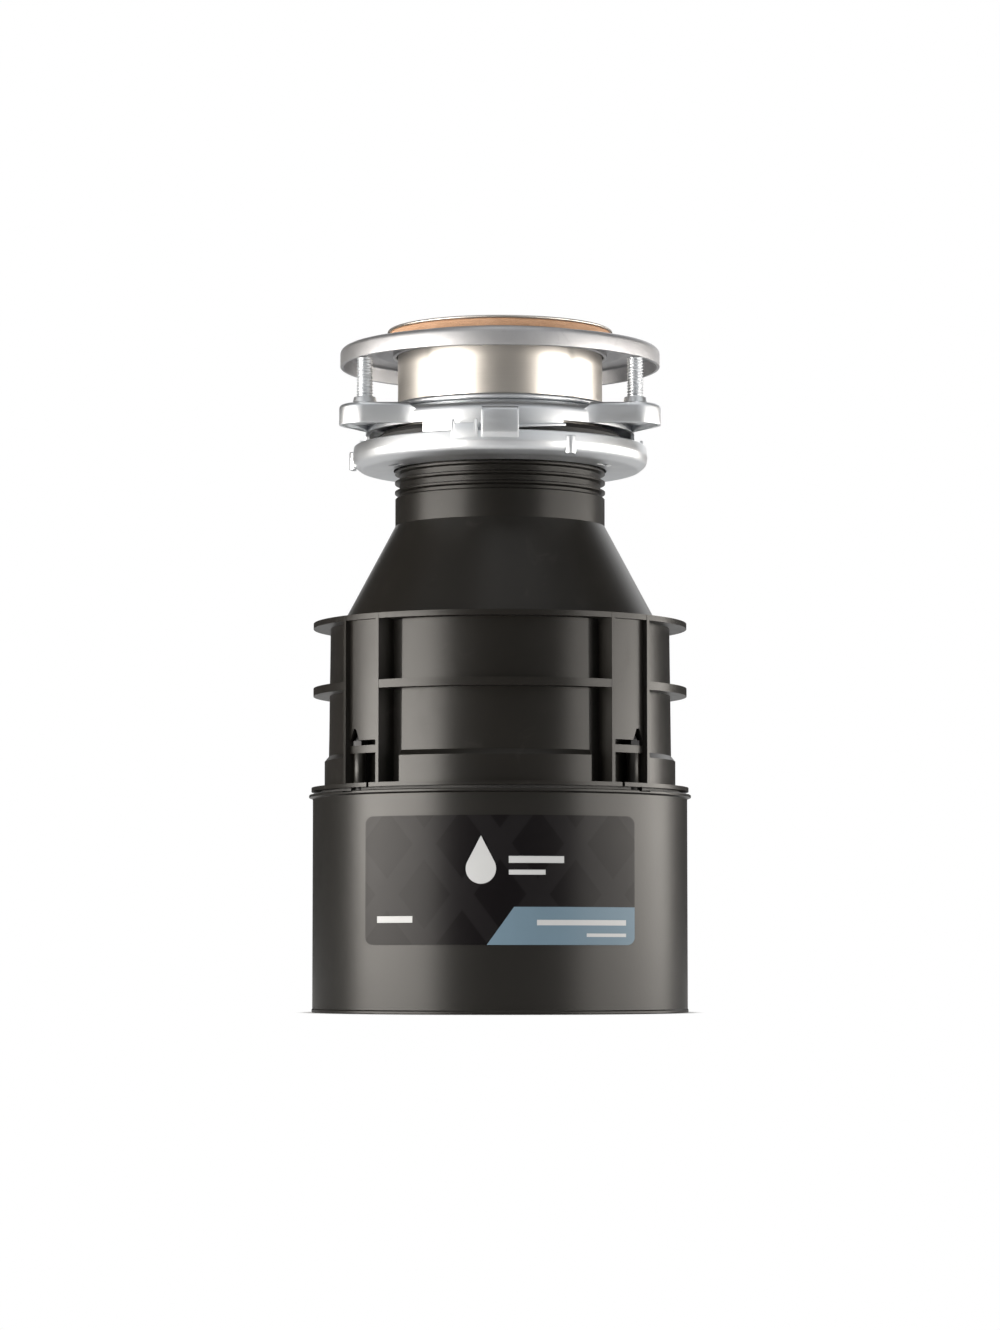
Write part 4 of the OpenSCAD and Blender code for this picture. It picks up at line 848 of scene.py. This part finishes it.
def makeLowerRing(shape):
    seat = boxOf("lower_mounting_ring")[0].z / mm
    r, t = shape["ringR"], shape["thick"]
    rimTop, floorR = seat + shape["height"], shape["floorR"]
    inner, outer = shape["slotInner"], shape["slotOuter"]
    bm = bmesh.new()
    path = softPath([
        (floorR, seat, 0.3), (inner, seat, 0), (outer, seat, 0), (r - 3.6, seat, 2.6),
        (r - 0.5, seat + 2.6, 3.0), (r, seat + 5.8, 4.0), (r - 0.6, rimTop, 0.7), (r - 0.6 - t, rimTop, 0.4),
        (r - t, seat + 5.8, 3.0), (r - t - 0.5, seat + 3.6, 2.0), (r - 4.2, seat + t, 2.0),
        (outer, seat + t, 0), (inner, seat + t, 0), (floorR, seat + t, 0.3)], steps=5)
    angles = set(turnSteps(180))
    for lobe in lobeTurns:
        for side in (-1, 1):
            angles.add(math.radians(lobe + side * shape["slotHalf"]))
    angles = sorted(angles)
    ringOf(bm, path, angles)
    # slots in the floor, opened through both faces
    for lobe in lobeAngles:
        facing = polar(lobe, 1, 0)
        gone = []
        for face in bm.faces:
            spot = face.calc_center_median()
            away = math.hypot(spot.x, spot.y)
            turn = Vector((spot.x, spot.y)).angle(Vector((facing.x, facing.y)))
            within = inner * mm < away < outer * mm and turn < math.radians(shape["slotHalf"])
            if within and abs(face.normal.z) > 0.9:
                gone.append(face)
        bmesh.ops.delete(bm, geom=gone, context="FACES")
        bmesh.ops.bridge_loops(bm, edges=[e for e in bm.edges if e.is_boundary])

    # hooks: up from the rim, out, and curled in over the ledge
    leg, out = shape["hookLegR"], r + shape["hookOut"]
    crown, tip = seat + shape["hookRise"], seat + shape["hookTip"]
    for hook in hookTurns:
        part = bmesh.new()
        section = softPath([
            (r - t - 0.2, seat + 6.8, 0.3), (r - 0.1, seat + 6.8, 0.5), (out, seat + 9.0, 1.6),
            (out, crown, 3.4), (leg, crown, 1.6), (leg, tip, 0.4), (leg + t, tip, 0.4),
            (leg + t, crown - t, 0.6), (out - t, crown - t, 1.0), (out - t, seat + 9.2, 0.6)], steps=4)
        ringOf(part, section, turnSteps(14, hook - shape["hookHalf"], hook + shape["hookHalf"]), full=False)
        rims = [e for e in part.edges if e.calc_face_angle(0.0) > math.radians(60)]
        bmesh.ops.bevel(part, geom=rims, offset=shape["hookEdge"] * mm, segments=2, profile=0.5,
                        affect="EDGES", material=-1)
        joinInto(bm, part)

    # stop tabs, each with a horn at either end
    def tabTop(angle, pr, pz):
        if pz < (seat + 8) * mm:
            return pr, pz
        half = shape["tabHalf"]
        part = (math.degrees(angle) - shape["tabOffset"] + 60) % 120 - 60
        edge = half - abs(part)
        horn = max(0.0, min(1.0, (1.5 - edge) / 0.8)) * max(0.3, min(1.0, edge / 0.35))
        return pr, pz + horn * shape["hornRise"] * mm

    for hook in hookTurns:
        part = bmesh.new()
        foot, top = seat + 7, seat + shape["tabRise"]
        back, front = r - 1.35, r - 0.15
        section = softPath([(back, foot, 0), (front, foot, 0), (front, top, 0.3), (back, top, 0.3)], steps=2)
        middle = hook + shape["tabOffset"]
        stretch = turnSteps(40, middle - shape["tabHalf"], middle + shape["tabHalf"])
        ringOf(part, section, stretch, full=False, shift=tabTop)
        joinInto(bm, part)

    # eyes for the turning bar
    for hook in hookAngles:
        part = bmesh.new()
        facing = hook + math.radians(shape["eyeOffset"])
        hole, eye, rise = shape["eyeHole"], shape["eyeR"], shape["eyeRise"]
        section = softPath([(hole, 0, 0.2), (eye, 0, 0.5), (eye, rise, 0.5), (hole, rise, 0.3)], steps=3)
        middle = math.degrees(facing)
        ringOf(part, section, turnSteps(24, middle - 100, middle + 100), full=False)
        bmesh.ops.translate(part, verts=part.verts, vec=polar(facing, (r - 0.9) * mm, (seat + 0.8) * mm))
        joinInto(bm, part)
    return finishPiece(bm, "lowerMountingRing", "zinc", "lower_mounting_ring", ["lower_mounting_ring"])


# the three mounting screws, each with a rolled thread
threadShape = {
    "pitch": 1.27, "crest": 3.5, "depth": 0.62, "steps": 24, "tipR": 1.1, "headTall": 3.4, "headEdge": 0.3,
}


def makeScrew(node, name, shape):
    low, high = boxOf(node)
    centre = (low + high) / 2
    crest = shape["crest"] * mm
    pitch = shape["pitch"] * mm
    root = crest - shape["depth"] * mm
    headTop = low.z + shape["headTall"] * mm
    end = boxOf("backup_flange")[0].z - 0.3 * mm
    turns = math.ceil((end - headTop) / pitch) + 1
    bm = bmesh.new()
    corners = [(root, 0), (crest - 0.06 * mm, 0.40), (crest, 0.5), (crest - 0.06 * mm, 0.60), (root, 1.0)]
    verts = [bm.verts.new((r, 0, headTop - pitch + part * pitch)) for r, part in corners]
    edges = [bm.edges.new((verts[k], verts[k + 1])) for k in range(len(verts) - 1)]
    steps = shape["steps"] * turns
    climb = (0, 0, pitch / shape["steps"])
    bmesh.ops.spin(bm, geom=verts + edges, cent=(0, 0, 0), axis=(0, 0, 1), dvec=climb,
                   angle=2 * math.pi * turns, steps=steps, use_merge=False, use_duplicate=False)
    bmesh.ops.remove_doubles(bm, verts=bm.verts, dist=2e-6)
    for height, keepAbove in ((headTop - 0.2 * mm, True), (end, False)):
        bmesh.ops.bisect_plane(bm, geom=bm.verts[:] + bm.edges[:] + bm.faces[:], plane_co=(0, 0, height),
                               plane_no=(0, 0, 1), clear_inner=keepAbove, clear_outer=not keepAbove)
    bmesh.ops.holes_fill(bm, edges=[e for e in bm.edges if e.is_boundary], sides=0)
    # chamfer and dog point above the thread
    tip = bmesh.new()
    core, tipR = root / mm, shape["tipR"] - 0.02
    foot, point = end / mm, high.z / mm
    section = softPath([
        (0.02, foot - 0.5, 0), (core, foot - 0.5, 0), (core - 0.1, foot, 0.2), (tipR, foot + 0.5, 0.2),
        (tipR, point - 1, 0.3), (tipR - 0.48, point, 0.2), (0.02, point, 0)], closed=False, steps=3)
    ringOf(tip, section, turnSteps(24), closed=False)
    joinInto(bm, tip)
    bmesh.ops.translate(bm, verts=bm.verts, vec=(centre.x, centre.y, 0))
    # the slotted head is the plain shape with its edges broken
    head = bmesh.new()
    head.from_mesh(nodes[node].data)
    bmesh.ops.remove_doubles(head, verts=head.verts, dist=1e-6)
    bmesh.ops.bisect_plane(head, geom=head.verts[:] + head.edges[:] + head.faces[:],
                           plane_co=(0, 0, headTop - 0.01 * mm), plane_no=(0, 0, 1), clear_outer=True)
    bmesh.ops.dissolve_limit(head, angle_limit=math.radians(1), verts=head.verts, edges=head.edges)
    rims = [e for e in head.edges if len(e.link_faces) == 2 and e.calc_face_angle(0.0) > math.radians(50)]
    bmesh.ops.bevel(head, geom=rims, offset=shape["headEdge"] * mm, segments=2, profile=0.5,
                    affect="EDGES", material=-1)
    bmesh.ops.holes_fill(head, edges=[e for e in head.edges if e.is_boundary], sides=0)
    joinInto(bm, head)
    return finishPiece(bm, name, "zinc", node, [node], sharpAngle=75)


makeSleeve(sleeveShape)
makeDish(dishShape)
makeWasher(washerShape)
makeUpperRing(upperShape)
makeLowerRing(lowerShape)
for side in ("left", "right", "rear"):
    makeScrew("mounting_screw_" + side, side + "Screw", threadShape)
print("sink mount shaped")


# moulded and formed pieces keep the plain shape, with their edges broken by a small bevel
softEdges = {
    "hopper": {"name": "ribbedHopper", "width": 0.45},
    "motor_housing": {"name": "motorCan", "width": 0.30},
    "discharge_flange": {"name": "dischargePlate", "width": 0.30},
    "upper_end_frame": {"name": "upperEndFrame", "width": 0.35},
    "wiring_cover": {"name": "wiringCover", "width": 0.20},
    "turntable": {"name": "grindPlate", "width": 0.30},
    "shredder_ring": {"name": "shredderRing", "width": 0.25},
    "impeller_left": {"name": "leftImpeller", "width": 0.40},
    "impeller_right": {"name": "rightImpeller", "width": 0.40},
    "through_bolts": {"name": "throughBolts", "width": 0.20},
}
bodies = frame["record"]["behaviour"]["bodies"]
bodyOf = {node: body for body, members in bodies.items() for node in members}
slotOf = {entry["node"]: entry["material_slot"] for entry in frame["record"]["subparts"]}


def roundNormals(mesh):
    # faces that lie round the vertical axis are shaded as a true turned surface
    kept = [corner.vector.copy() for corner in mesh.corner_normals]
    for face in mesh.polygons:
        flat = Vector((face.normal.x, face.normal.y))
        away = Vector((face.center.x, face.center.y))
        if flat.length < 0.05 or away.length < 0.01:
            continue
        if abs(flat.normalized().dot(away.normalized())) < 0.998:
            continue
        side = 1 if flat.dot(away) > 0 else -1
        spots = [mesh.vertices[mesh.loops[k].vertex_index].co for k in face.loop_indices]
        reach = [math.hypot(v.x, v.y) * flat.length * side + v.z * face.normal.z for v in spots]
        if max(reach) - min(reach) > 0.00008:
            continue
        for k, v in zip(face.loop_indices, spots):
            out = Vector((v.x, v.y)).normalized() * flat.length * side
            kept[k] = Vector((out.x, out.y, face.normal.z))
    mesh.normals_split_custom_set(kept)


def breakEdges(node, settings):
    bm = bmesh.new()
    bm.from_mesh(nodes[node].data)
    bmesh.ops.remove_doubles(bm, verts=bm.verts, dist=1e-6)
    bmesh.ops.dissolve_limit(bm, angle_limit=math.radians(0.04), verts=bm.verts, edges=bm.edges)
    rims = [e for e in bm.edges if len(e.link_faces) == 2 and e.calc_face_angle(0.0) > math.radians(32)]
    bmesh.ops.bevel(bm, geom=rims, offset=settings["width"] * mm, segments=2, profile=0.5, affect="EDGES",
                    clamp_overlap=True, material=-1)
    piece = finishPiece(bm, settings["name"], slotOf[node], bodyOf[node], [node], sharpAngle=60)
    piece.data.materials[0] = finishes[ownFinish.get(node, slotOf[node])]
    roundNormals(piece.data)
    return piece


for node, settings in softEdges.items():
    breakEdges(node, settings)
print("edges broken on", len(softEdges), "pieces")


# the CAD nodes keep their shape and take the finishes
for entry in frame["record"]["subparts"]:
    piece = nodes[entry["node"]]
    piece.data.materials.clear()
    piece.data.materials.append(finishes[ownFinish.get(entry["node"], entry["material_slot"])])
print("nodes finished")
